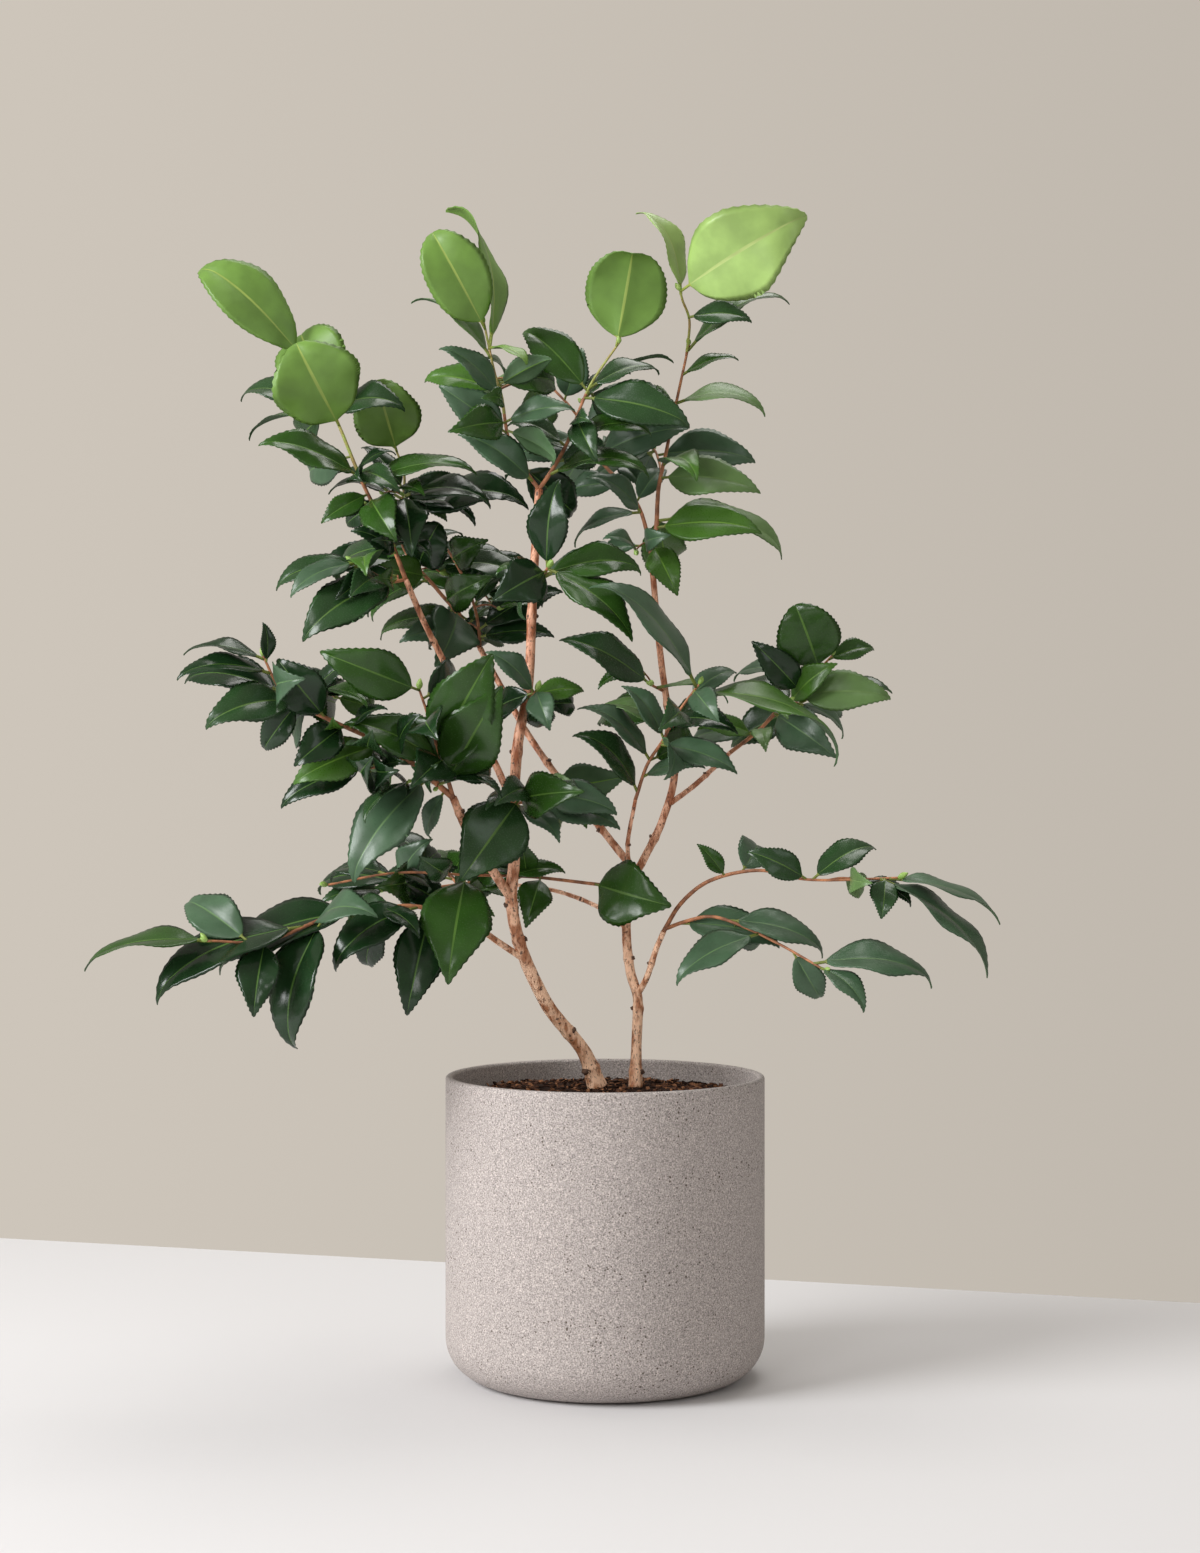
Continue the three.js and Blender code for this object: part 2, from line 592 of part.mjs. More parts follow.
function noteLimb(limb, owner) {
  const curve = curveThrough(limb.route);
  const count = Math.ceil(routeLength(limb.route) / noteStep);
  for (let i = 0; i <= count; i += 1) {
    placedPoints.push({ point: curve.getPoint(i / count), radius: limbRadius(limb, i / count), owner });
  }
}

function isFree(leaf) {
  const middle = leaf.spine.points[spineSteps / 2];
  const reach = leaf.length / 2 + leafClearance.otherMass;
  for (const { point, radius, owner } of placedPoints) {
    if (point.distanceTo(middle) > reach + radius) continue;
    for (const sample of leaf.samples) {
      if (owner === leaf.owner && sample.along < leafClearance.freeFrom) continue;
      if (point.distanceTo(sample.point) < radius + leafClearance.limb) return false;
    }
  }
  for (const other of placedLeaves) {
    const otherMiddle = other.spine.points[spineSteps / 2];
    if (otherMiddle.distanceTo(middle) > reach + other.length / 2) continue;
    const sameShoot = other.owner === leaf.owner;
    const needed = other.mass === leaf.mass ? leafClearance.ownMass : leafClearance.otherMass;
    for (const sample of leaf.samples) {
      const atFoot = sameShoot && sample.along < leafClearance.freeFrom;
      for (const against of other.samples) {
        if (atFoot && against.along < leafClearance.freeFrom) continue;
        if (sample.point.distanceTo(against.point) < needed) return false;
      }
    }
  }
  return true;
}

// A side twig keeps off every limb but the shoot it stands on, and off every leaf.
function twigIsFree(twig, shoot) {
  for (let share = sideTwig.look; share <= 1; share += sideTwig.look) {
    const here = twig.curve.getPoint(share);
    for (const { point, radius, owner } of placedPoints) {
      const needed = radius + sideTwig.foot + leafClearance.limb;
      if (owner !== shoot.route && here.distanceTo(point) < needed) return false;
    }
    for (const leaf of placedLeaves) {
      if (leaf.samples.some((sample) => here.distanceTo(sample.point) < sideTwig.clearance)) return false;
    }
  }
  return true;
}

// Sets one leaf on a shoot. Each try that isn't free turns it a little more; a leaf with no room is left out.
function growLeaf(shoot, dice, place, heading, rise, length, breadth) {
  const base = pointInTwig(shoot, Math.min(leafClearance.lastFoot, place));
  const width = Math.max(leafShape.width, Math.abs(breadth));
  const isRound = width > leafShape.roundFrom || (shoot.isBlunt === true && place >= shoot.youngFrom);
  const { count, turn, roll, steepest } = leafTries;
  for (let attempt = 0; attempt < count; attempt += 1) {
    const leaf = {
      base,
      length,
      width,
      isRound,
      owner: shoot.route,
      mass: shoot.mass,
      heading: heading + dice.spread(turn * attempt),
      rise: THREE.MathUtils.clamp(rise + dice.spread(turn * attempt), -steepest, steepest),
      arch: leafShape.arch + dice.spread(leafShape.archVary),
    };
    leaf.roll = rollToFront(leaf.heading, leaf.rise, breadth / width) + dice.spread(roll * attempt);
    leaf.spine = leafSpine(leaf);
    leaf.samples = leafSamples(leaf);
    if (isFree(leaf)) {
      placedLeaves.push(leaf);
      shoot.grown.push(leaf);
      return;
    }
  }
}

// Fill leaves stand on old wood only: new growth carries the leaves that are given for it.
function growFillLeaves(shoot, dice, count, rank) {
  const last = Math.min(fillLeaf.last, (shoot.youngFrom ?? 1) - fillLeaf.youngGap);
  for (let k = 0; k < count; k += 1) {
    const step = (last - fillLeaf.first) * ((k + 0.5) / count);
    growLeaf(
      shoot,
      dice,
      fillLeaf.first + step + dice.spread(fillLeaf.placeVary),
      rank + k * fillLeaf.turn + dice.spread(fillLeaf.splay),
      fillLeaf.dip + dice.spread(fillLeaf.tilt),
      fillLeaf.size * (1 + dice.spread(fillLeaf.vary)),
      fillLeaf.breadth + dice.spread(fillLeaf.breadthVary),
    );
  }
}

// Side twigs alternate away from and towards the front, so that the crown is full from all sides.
function growSideTwig(mass, shoot, dice, k, count) {
  const step = (sideTwig.last - sideTwig.first) * ((k + 0.5) / count);
  const start = pointInTwig(shoot, sideTwig.first + step + dice.spread(sideTwig.placeVary));
  for (let attempt = 0; attempt < sideTwig.tries; attempt += 1) {
    const heading = (k % 2 ? -90 : 90) + dice.spread(sideTwig.splay);
    const rise = radians(sideTwig.rise + dice.spread(sideTwig.riseVary));
    const reach = sideTwig.length * (1 + dice.spread(sideTwig.lengthVary));
    const route = sideTwigSag.map(([part, lift]) => [
      start.x + Math.cos(radians(heading)) * Math.cos(rise) * reach * part,
      start.y + Math.sin(radians(heading)) * Math.cos(rise) * reach * part,
      start.z + Math.sin(rise) * reach * part + lift,
    ]);
    const twig = { route, foot: sideTwig.foot, tip: sideTwig.tip, mass: mass.name, grown: [] };
    twig.curve = curveThrough(route);
    if (twigIsFree(twig, shoot)) {
      growTwigLeaves(mass, twig, dice, heading);
      return;
    }
  }
}

function growTwigLeaves(mass, twig, dice, heading) {
  noteLimb(twig, twig.route);
  mass.twigs.push(twig);
  growFillLeaves(twig, dice, sideTwig.leaves, heading + sideTwig.leafTurn);
  const length = fillLeaf.size * (1 + dice.spread(fillLeaf.vary));
  const rise = sideTwig.tipDip + dice.spread(sideTwig.tipVary);
  growLeaf(twig, dice, 1, heading, rise, length, fillLeaf.breadth);
}

for (const limb of limbs) noteLimb(limb, limb.name);

for (const mass of masses) {
  mass.dice = makeDice(mass.seed);
  mass.twigs = [...mass.shoots];
  for (const shoot of mass.shoots) {
    shoot.curve = curveThrough(shoot.route);
    shoot.mass = mass.name;
    shoot.grown = [];
    noteLimb(shoot, shoot.route);
  }
}
for (const mass of masses) {
  for (const shoot of mass.shoots) {
    for (const [place, heading, rise, length, breadth] of shoot.leaves) {
      growLeaf(shoot, mass.dice, place, heading, rise, length, breadth ?? leafShape.breadth);
    }
  }
}
for (const mass of masses) {
  for (const shoot of mass.shoots) {
    for (let k = 0; k < shoot.twigs; k += 1) growSideTwig(mass, shoot, mass.dice, k, shoot.twigs);
    growFillLeaves(shoot, mass.dice, shoot.fill, shoot.rank);
  }
}

/* ---------- the planter and its soil ---------- */

function arcPoints(centreX, centreZ, radius, from, to, steps) {
  const points = [];
  for (let i = 0; i <= steps; i += 1) {
    const angle = radians(from + ((to - from) * i) / steps);
    points.push(new THREE.Vector2(centreX + Math.cos(angle) * radius, centreZ + Math.sin(angle) * radius));
  }
  return points;
}

function turned(profile) {
  const geometry = new THREE.LatheGeometry(profile, pot.steps);
  geometry.rotateX(Math.PI / 2);
  geometry.deleteAttribute('normal');
  geometry.deleteAttribute('uv');
  return mergeVertices(geometry, weld);
}

const potInside = pot.width / 2 - pot.wall;

function makePot() {
  const radius = pot.width / 2;
  const profile = [
    new THREE.Vector2(0, 0),
    ...arcPoints(radius - pot.corner, pot.corner, pot.corner, -90, 0, pot.footSteps),
    ...arcPoints(radius - pot.rim, pot.height - pot.rim, pot.rim, 0, 90, pot.rimSteps),
    ...arcPoints(potInside + pot.rim, pot.height - pot.rim, pot.rim, 90, 180, pot.rimSteps),
    ...arcPoints(radius - pot.corner, pot.corner, pot.corner - pot.wall, 0, -pot.insideTurn, pot.insideSteps),
    new THREE.Vector2(radius - pot.corner - pot.floorEdge, pot.floor),
    new THREE.Vector2(0, pot.floor),
  ];
  return turned(profile);
}

function makeSoil() {
  const inside = potInside - gap;
  const corner = pot.corner - pot.wall;
  const profile = [
    new THREE.Vector2(0, pot.floor + gap),
    new THREE.Vector2(inside - corner - soil.footEdge, pot.floor + gap),
    ...arcPoints(inside - corner, pot.corner + gap, corner - gap, -pot.insideTurn, 0, pot.insideSteps),
    new THREE.Vector2(inside, pot.height - soil.edgeDrop),
    new THREE.Vector2((inside + soil.plateau) / 2, ground - soil.crest),
    new THREE.Vector2(soil.plateau, ground),
    new THREE.Vector2(0, ground),
  ];
  return turned(profile);
}

/* ---------- the assembly ---------- */

const finishes = {
  pot: new THREE.MeshStandardMaterial({ color: 0xaea59e, roughness: 0.85, metalness: 0 }),
  soil: new THREE.MeshStandardMaterial({ color: 0x3d2c22, roughness: 1, metalness: 0 }),
  stem: new THREE.MeshStandardMaterial({ color: 0xa98a6c, roughness: 0.8, metalness: 0 }),
  bough: new THREE.MeshStandardMaterial({ color: 0x99765a, roughness: 0.8, metalness: 0 }),
  foliage: new THREE.MeshStandardMaterial({ color: 0x2f5a2e, roughness: 0.35, metalness: 0 }),
};

const group = new THREE.Group();

function addPiece(name, geometry, finish) {
  const mesh = new THREE.Mesh(geometry, finish.clone());
  mesh.name = name;
  group.add(mesh);
}

addPiece('pot', toGeometry(toSolid(makePot())), finishes.pot);
addPiece('soil', toGeometry(toSolid(makeSoil())), finishes.soil);

const cutters = []; // fatter copies of what is already placed
const swell = gap * 1.15; // a little over the gap, because the fatter copies are faceted too

for (const limb of limbs) {
  const kind = limb.kind ?? 'bough';
  let solid = limbSolid(limb, kind);
  for (const cutter of cutters) solid = solid.subtract(cutter);
  addPiece(limb.name, toGeometry(mainBody(solid)), finishes[kind]);
  cutters.push(limbSolid(limb, kind, swell));
}

for (const mass of masses) {
  const pieces = [];
  for (const twig of mass.twigs) {
    pieces.push(limbSolid(twig, 'twig'));
    for (const leaf of twig.grown) pieces.push(leafSolid(leaf));
  }
  let solid = joinAll(pieces);
  for (const cutter of cutters) solid = solid.subtract(cutter);
  addPiece(mass.name, toGeometry(mainBody(solid)), finishes.foliage);
  for (const shoot of mass.shoots) cutters.push(limbSolid(shoot, 'twig', swell));
}

export default group;
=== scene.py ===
import math
from functools import cache

import bpy
import numpy as np
from bpy.props import FloatProperty, FloatVectorProperty, IntProperty, PointerProperty
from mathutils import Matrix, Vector, noise


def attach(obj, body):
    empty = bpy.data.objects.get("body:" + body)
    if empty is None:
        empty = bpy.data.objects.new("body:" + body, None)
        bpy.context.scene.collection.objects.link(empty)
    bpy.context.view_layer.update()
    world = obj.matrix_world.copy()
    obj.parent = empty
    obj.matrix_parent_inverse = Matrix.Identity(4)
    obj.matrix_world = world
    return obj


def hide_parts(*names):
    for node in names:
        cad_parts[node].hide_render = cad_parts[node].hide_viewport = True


bl_info = {
    "name": "Potted camellia",
    "version": (1, 0, 0),
    "blender": (4, 5, 0),
    "location": "3D View > Sidebar > Camellia",
    "description": "Grows a camellia shrub in a round concrete planter around its packed solids",
    "category": "Object",
}

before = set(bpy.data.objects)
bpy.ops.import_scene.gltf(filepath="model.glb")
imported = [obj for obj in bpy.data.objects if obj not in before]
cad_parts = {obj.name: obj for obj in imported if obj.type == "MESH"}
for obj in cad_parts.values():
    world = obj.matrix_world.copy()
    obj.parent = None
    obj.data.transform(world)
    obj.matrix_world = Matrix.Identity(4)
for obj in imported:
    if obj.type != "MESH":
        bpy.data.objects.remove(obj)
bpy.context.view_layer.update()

MM = 0.001
UP = np.array([0.0, 0.0, 1.0])

# ---------------------------------------------------------------- the plant's own sizes, in mm and degrees

GAP = 0.3  # left free between neighbouring solids
POT_HEIGHT = 236
SOIL_DROP = 12
GROUND = POT_HEIGHT - SOIL_DROP

TWIG_STEP = 21  # a twig is straight over about this length
PAST_END = 2  # a place that no shoot reaches
NOTE_STEP = 5  # between the points that stand for a limb where room is looked for

# A leaf: its stalk, width and breadth as shares of its length, and the bend of its midrib.
LEAF = {
    "petiole": 0.09, "width": 0.43, "breadth": 0.33, "round_from": 0.65, "arch": 66, "arch_vary": 18,
    "arch_start": 0.36, "arch_power": 1.8, "fold": 6,
}
# The blade's outline is half a wave. These powers shift its widest place and round it, and the cut narrows its tip.
OUTLINE = {
    "rise": 0.8, "fullness": 0.85, "tip_from": 0.5, "tip_cut": 0.42, "round_rise": 0.95, "roundness": 0.68,
}
# The room that a leaf needs, and how far each further try turns it.
CLEAR = {
    "own_mass": 2, "other_mass": 6, "limb": 1.8, "free_from": 0.34, "last_foot": 0.985,
    "tries": 10, "turn": 3, "roll": 4, "steepest": 86,
}
# The leaves that fill a shoot: places, angles and sizes, and how far each may vary.
FILL = {
    "first": 0.12, "last": 0.93, "place_vary": 0.04, "turn": 180, "splay": 22, "dip": -6, "tilt": 22, "size": 76,
    "vary": 0.18, "breadth": 0.24, "breadth_vary": 0.16, "young_gap": 0.06,
}
# The side twigs, the same way.
SIDE = {
    "first": 0.3, "last": 0.9, "place_vary": 0.08, "length": 58, "length_vary": 0.2, "rise": 14, "rise_vary": 18,
    "splay": 28, "foot": 1.15, "tip": 0.8, "leaves": 3, "leaf_turn": 70, "tip_dip": -8, "tip_vary": 15,
    "clearance": 5, "tries": 6, "look": 0.08,
}
SIDE_SAG = ((0, 0), (0.35, 1.5), (0.7, 1), (1, -2))  # share of its length, lift over its chord

# The finer growth that fills each mass: short twigs with two or three smaller leaves, and single smaller leaves.
FINE = {
    "first": 0.08, "last": 0.96, "length": 26, "vary": 0.25, "foot": 0.8, "tip": 0.6, "clearance": 3.2, "tries": 9,
    "turn": 180, "rise": 50, "size": 50, "size_vary": 0.25, "own_mass": 1.5, "other_mass": 2.5, "limb": 1.2,
}
FINE_LEAVES = ((70, 0.45), (-70, 0.7), (0, 1))  # turn from the twig's heading, place along it
FINE_TWIGS = {
    "foliage_left": 16, "foliage_left_trunk": 3, "foliage_centre_low": 3, "foliage_left_tuft": 3,
    "foliage_centre": 2, "foliage_upper_left_side": 5, "foliage_back_left": 12, "foliage_back_centre": 12,
    "foliage_upper_left": 4, "foliage_low_left": 1, "foliage_low_thin": 4, "foliage_back_low": 6,
    "foliage_top_left": 3, "foliage_top_middle": 2, "foliage_upper_middle": 1, "foliage_right_crown": 1,
    "foliage_right_inner": 1, "foliage_right_mid": 3, "foliage_right_low": 1, "foliage_right_tuft": 1,
}

# Each limb: its route, its radii at foot and tip, and the dark knots along it as (place, size, turn about the limb).
LIMBS = {
    "stem_left": {
        "foot": 5.6, "tip": 3.1, "flare": 2.6, "flare_reach": 0.13,
        "route": [
            (-6, 18, GROUND + GAP), (-17, 13, 253), (-45, 4, 290), (-65, -8, 334), (-73, -15, 372), (-71, -15, 405),
            (-71, -12, 452), (-68, -8, 497), (-60, -4, 542), (-57, 2, 609), (-54, 6, 665), (-52, 8, 696),
        ],
        "knots": [
            (0.05, 3.4, 40), (0.13, 2.6, 150), (0.29, 2.8, 170), (0.36, 2.6, 20), (0.52, 2.2, 200), (0.62, 2.4, 10),
            (0.8, 2.2, 190),
        ],
    },
    "stem_right": {
        "foot": 4.3, "tip": 2.4, "flare": 1.5, "flare_reach": 0.1,
        "route": [
            (24, 18, GROUND + GAP), (25, 20, 261), (26, 24, 293), (20, 27, 316), (17, 32, 349), (20, 37, 383),
            (30, 41, 402), (46, 45, 435), (56, 48, 475), (50, 48, 527), (44, 46, 571), (37, 44, 647),
        ],
        "knots": [(0.03, 2.8, 160), (0.16, 2.6, 10), (0.3, 2.2, 200), (0.42, 2.4, 30), (0.6, 2.2, 350), (0.82, 2, 170)],
    },
    "bough_low_left": {
        "foot": 2.7, "tip": 2, "route": [(-66, -8, 329), (-84, -20, 342), (-107, -36, 359), (-130, -50, 368)],
        "knots": [(0.5, 1.8, 90)],
    },
    "bough_left": {
        "foot": 3.8, "tip": 2.9, "route": [(-73, -15, 375), (-90, -34, 402), (-105, -50, 427), (-116, -62, 454)],
        "knots": [(0.45, 2.2, 60), (0.86, 2.2, 200)],
    },
    "bough_upper_left": {
        "foot": 2.9, "tip": 2.2,
        "route": [
            (-72, -12, 447), (-85, 4, 477), (-106, 14, 516), (-127, 16, 560), (-143, 12, 592), (-157, 8, 625),
        ],
        "knots": [(0.4, 1.9, 200), (0.7, 1.8, 20)],
    },
    "bough_crossing": {
        "foot": 3.1, "tip": 2.3,
        "route": [(24, 39, 394), (-3, 52, 428), (-36, 64, 467), (-61, 74, 502), (-80, 82, 535), (-102, 88, 575)],
        "knots": [(0.2, 2, 30), (0.48, 2, 210), (0.8, 1.8, 40)],
    },
    "bough_back_low": {
        "foot": 1.9, "tip": 1.5, "route": [(17, 32, 349), (-3, 48, 364), (-38, 66, 377), (-81, 78, 383)],
        "knots": [(0.5, 1.4, 90)],
    },
    "bough_low_thin": {"foot": 1.6, "tip": 1.4, "route": [(18, 35, 373), (8, 30, 380), (-3, 26, 384)], "knots": []},
    "bough_right_low": {
        "foot": 2.6, "tip": 2.1, "route": [(25, 25, 296), (33, 17, 311), (40, 10, 333), (46, 6, 348)],
        "knots": [(0.5, 1.7, 10)],
    },
    "bough_right_mid": {
        "foot": 2.3, "tip": 1.8, "route": [(53, 46, 449), (71, 58, 462), (87, 66, 476), (101, 72, 489)],
        "knots": [(0.55, 1.6, 20)],
    },
    "bough_right_inner": {
        "foot": 1.9, "tip": 1.5, "route": [(21, 38, 389), (18, 26, 416), (24, 12, 452)], "knots": [(0.5, 1.4, 200)],
    },
}

# Each mass of foliage: its seed and its shoots. A shoot's leaves are (place along it, heading, rise, length, and
# the breadth it shows to the front, under zero for its underside). Leaves from young_from on are young, and the
# shoot is green from green_from on; on a fresh shoot they are paler still, and is_blunt rounds them. The rule adds
# as many leaves as fill says, the first with its heading at rank, and as many side twigs as twigs says.
MASSES = {
    "foliage_low_left": (11, [{
        "route": [(-130, -50, 368), (-157, -58, 371), (-208, -76, 364), (-253, -98, 347), (-296, -116, 348)],
        "foot": 1.9, "tip": 0.9, "fill": 3, "rank": 120, "twigs": 1,
        "leaves": [(0.04, -125, -70, 90, 0.42), (0.13, -155, -35, 95), (0.3, 115, -55, 65),
                   (0.4, 175, -23, 128, 0.24), (0.53, -135, -75, 114, 0.36), (0.6, -168, -22, 134, 0.18),
                   (0.76, -100, -62, 66, 0.5), (0.98, 178, -12, 104, 0.14)],
    }]),
    "foliage_low_thin": (12, [{
        "route": [(-3, 26, 384), (-52, 20, 390), (-79, 4, 392), (-107, -34, 394), (-160, -46, 396),
                  (-213, -54, 387)],
        "foot": 1.4, "tip": 0.8, "fill": 3, "rank": 140, "twigs": 0,
        "leaves": [(0.02, -35, -12, 82, 0.62), (0.2, -110, -50, 54, 0.5), (0.26, -100, 55, 40, 0.5),
                   (0.6, -102, -64, 104, 0.52), (0.66, -120, 20, 48, 0.46)],
    }]),
    "foliage_back_low": (13, [{
        "route": [(-81, 78, 383), (-105, 76, 384), (-147, 70, 379), (-179, 62, 378)],
        "foot": 1.4, "tip": 0.9, "fill": 4, "rank": 90, "twigs": 2,
        "leaves": [(0.97, -160, -10, 60, 0.3), (0.35, 125, -45, 65)],
    }]),
    "foliage_left": (14, [{
        "route": [(-116, -62, 454), (-137, -72, 472), (-163, -80, 492), (-218, -98, 518), (-242, -106, 535),
                  (-255, -110, 560)],
        "foot": 2.5, "tip": 0.9, "fill": 4, "rank": 100, "twigs": 1,
        "leaves": [(0.7, -152, -17, 84, 0.34), (0.06, 135, -65, 45), (0.17, -155, -52, 108, 0.36),
                   (0.42, -165, -24, 78, 0.4), (0.52, -140, -34, 60, 0.5), (0.57, -150, 52, 62, 0.6),
                   (0.68, 150, -48, 52, 0.46), (0.78, 160, 6, 90, 0.24), (0.9, -160, -4, 76, 0.18),
                   (0.98, 175, 4, 66, 0.16), (0.96, -135, 84, 32, 0.3)],
    }, {
        "route": [(-152, -77, 484), (-167, -76, 478), (-183, -74, 476)],
        "foot": 1.3, "tip": 0.9, "fill": 4, "rank": 110, "twigs": 0,
        "leaves": [(0.95, -170, -25, 76)],
    }, {
        "route": [(-116, -62, 454), (-121, -76, 474), (-126, -84, 490), (-134, -90, 518), (-140, -92, 536)],
        "foot": 1.8, "tip": 0.9, "fill": 5, "rank": 80, "twigs": 0,
        "leaves": [(0.16, -40, 52, 96, 0.52), (0.3, 150, 50, 60, 0.5), (0.36, -165, 22, 86),
                   (0.48, -30, 56, 92, 0.56), (0.98, -160, 20, 88, 0.42)],
    }]),
    "foliage_left_trunk": (16, [{
        "route": [(-70, -14, 447), (-67, -26, 452), (-65, -42, 454)],
        "foot": 1.4, "tip": 1.1, "fill": 1, "rank": -30, "twigs": 0,
        "leaves": [(0.9, -148, -50, 88, 0.6)],
    }]),
    "foliage_centre_low": (31, [{
        "route": [(-69, -10, 449), (-54, 8, 452), (-40, 26, 460)],
        "foot": 1.3, "tip": 0.9, "fill": 2, "rank": 20, "twigs": 0,
        "leaves": [(0.6, -15, -12, 72, 0.36), (0.95, 15, 10, 68, -0.5), (0.9, -20, -44, 46, 0.36)],
    }]),
    "foliage_left_tuft": (17, [{
        "route": [(-63, -6, 528), (-58, -20, 532), (-53, -30, 537)],
        "foot": 1.3, "tip": 0.9, "fill": 1, "rank": 130, "twigs": 0,
        "leaves": [(0.96, -65, -50, 46, 0.5), (0.8, -150, 36, 56, 0.3), (0.6, 25, 5, 48)],
    }]),
    "foliage_centre": (18, [{
        "route": [(-56, 2, 612), (-50, -16, 623), (-44, -30, 632)],
        "foot": 1.5, "tip": 1.2, "fill": 1, "rank": 40, "twigs": 0,
        "leaves": [(0.92, -35, 80, 76, 0.4), (0.85, -140, -26, 64, 0.62), (0.95, -15, -40, 94, 0.3),
                   (0.7, 10, 2, 86, 0.28)],
    }]),
    "foliage_upper_left": (19, [{
        "route": [(-157, 8, 625), (-170, 4, 659), (-190, -2, 700), (-208, -5, 744), (-224, 9, 778),
                  (-240, 14, 802)],
        "foot": 1.9, "tip": 0.9, "fill": 3, "rank": 110, "twigs": 1,
        "young_from": 0.58, "green_from": 0.42, "is_blunt": True,
        "leaves": [(0.98, -178, 42, 116, 0.38), (0.6, -130, 52, 82, 0.86), (0.68, 130, 56, 84, 0.7),
                   (0.12, -140, 20, 52, 0.3), (0.36, -158, -32, 48, 0.4), (0.42, -165, 17, 88, 0.26),
                   (0.4, -10, 4, 98, 0.2), (0.34, -60, -38, 66, 0.5), (0.44, -35, -32, 56, 0.26)],
    }]),
    "foliage_upper_left_side": (20, [{
        "route": [(-157, 8, 625), (-170, 0, 623), (-183, -8, 630), (-196, -16, 637)],
        "foot": 1.4, "tip": 0.9, "fill": 2, "rank": 110, "twigs": 0,
        "leaves": [(0.2, -150, -32, 104, 0.36), (0.5, -125, -35, 58, 0.5), (0.8, 178, -14, 78, 0.24),
                   (0.96, -165, -36, 64, 0.24)],
    }]),
    "foliage_back_left": (21, [{
        "route": [(-102, 88, 575), (-121, 88, 604), (-138, 84, 624), (-165, 74, 660), (-162, 64, 711),
                  (-169, 60, 735)],
        "foot": 2, "tip": 0.9, "fill": 5, "rank": 150, "twigs": 2, "young_from": 0.86, "green_from": 0.72,
        "leaves": [(0.1, -145, -10, 72), (0.2, -110, -45, 82, 0.56), (0.46, -140, 5, 56, 0.5),
                   (0.5, -60, 40, 56, 0.7), (0.58, -165, 40, 60), (0.68, -20, 2, 124, 0.26),
                   (0.76, 165, 45, 55, 0.34), (0.97, -120, 62, 66, 0.84)],
    }]),
    "foliage_back_centre": (22, [{
        "route": [(-102, 88, 575), (-103, 88, 590), (-107, 92, 610), (-117, 96, 635), (-130, 98, 657),
                  (-142, 98, 667)],
        "foot": 1.5, "tip": 0.9, "fill": 5, "rank": 170, "twigs": 2,
        "leaves": [(0.12, -10, 0, 66), (0.2, 5, 25, 80), (0.55, 15, 20, 62), (0.72, -50, 15, 56, 0.5),
                   (0.96, 160, -20, 50)],
    }]),
    "foliage_top_left": (23, [{
        "route": [(-52, 8, 696), (-65, 6, 714), (-76, 2, 736), (-81, -2, 767), (-87, -3, 788),
                  (-95, -5, 826)],
        "foot": 1.8, "tip": 0.9, "fill": 3, "rank": 70, "twigs": 1,
        "young_from": 0.87, "green_from": 0.5, "is_blunt": True,
        "leaves": [(0.06, -165, 24, 76, 0.3), (0.42, -160, 32, 70, 0.44), (0.48, -12, 8, 62, 0.36),
                   (0.44, -35, -32, 60, -0.24), (0.62, -165, 30, 66, 0.36), (0.66, 160, 10, 70, 0.32),
                   (0.7, -20, 22, 52, -0.36), (0.86, 170, 36, 86, 0.18), (0.9, -20, -42, 42, 0.2),
                   (0.97, -150, 57, 94, 0.54), (0.89, 150, 71, 132, 0.12)],
    }]),
    "foliage_top_middle": (24, [{
        "route": [(-52, 8, 696), (-39, 10, 716), (-28, 10, 737), (-21, 10, 757), (-10, 8, 781), (11, 4, 811)],
        "foot": 1.8, "tip": 0.9, "fill": 3, "rank": 60, "twigs": 1, "young_from": 0.9, "green_from": 0.7,
        "leaves": [(0.74, 168, 24, 84, 0.34), (0.12, -10, -3, 90, 0.22), (0.38, -10, 2, 74, 0.22),
                   (0.34, -170, 20, 56), (0.56, -60, -50, 56, 0.4), (0.7, -12, -16, 94, 0.38),
                   (0.76, 20, 14, 68, 0.26), (0.98, -70, 62, 84, -0.8)],
    }]),
    "foliage_upper_middle": (25, [{
        "route": [(37, 44, 647), (33, 52, 669), (27, 60, 688), (15, 68, 707), (-2, 76, 725), (-23, 88, 765),
                  (-49, 98, 795)],
        "foot": 1.8, "tip": 1, "fill": 2, "rank": 150, "twigs": 1,
        "leaves": [(0.28, -160, 30, 62), (0.36, 45, 40, 50), (0.5, 155, -10, 60), (0.76, 25, 50, 68),
                   (0.9, -20, 70, 50, 0.56), (0.97, -155, 35, 38)],
    }]),
    "foliage_right_crown": (26, [{
        "route": [(37, 44, 647), (41, 46, 669), (43, 48, 701), (49, 48, 730), (57, 46, 769), (67, 38, 815)],
        "foot": 2.2, "tip": 1, "fill": 3, "rank": 100, "twigs": 2,
        "leaves": [(0.08, -50, -55, 56, 0.5), (0.2, -14, -4, 92, 0.36), (0.24, 15, -15, 122, 0.2),
                   (0.46, -16, -10, 90, 0.38), (0.8, -10, -10, 82, 0.22), (0.76, -160, 15, 46, 0.3),
                   (0.9, -15, 14, 50, 0.24), (0.98, 0, 26, 100, 0.18)],
    }, {
        "route": [(65, 40, 806), (67, 24, 831), (61, 8, 845), (59, 2, 852)],
        "foot": 1.1, "tip": 0.9, "fill": 0, "rank": 0, "twigs": 0,
        "young_from": 0.8, "green_from": 0.01, "fresh": True,
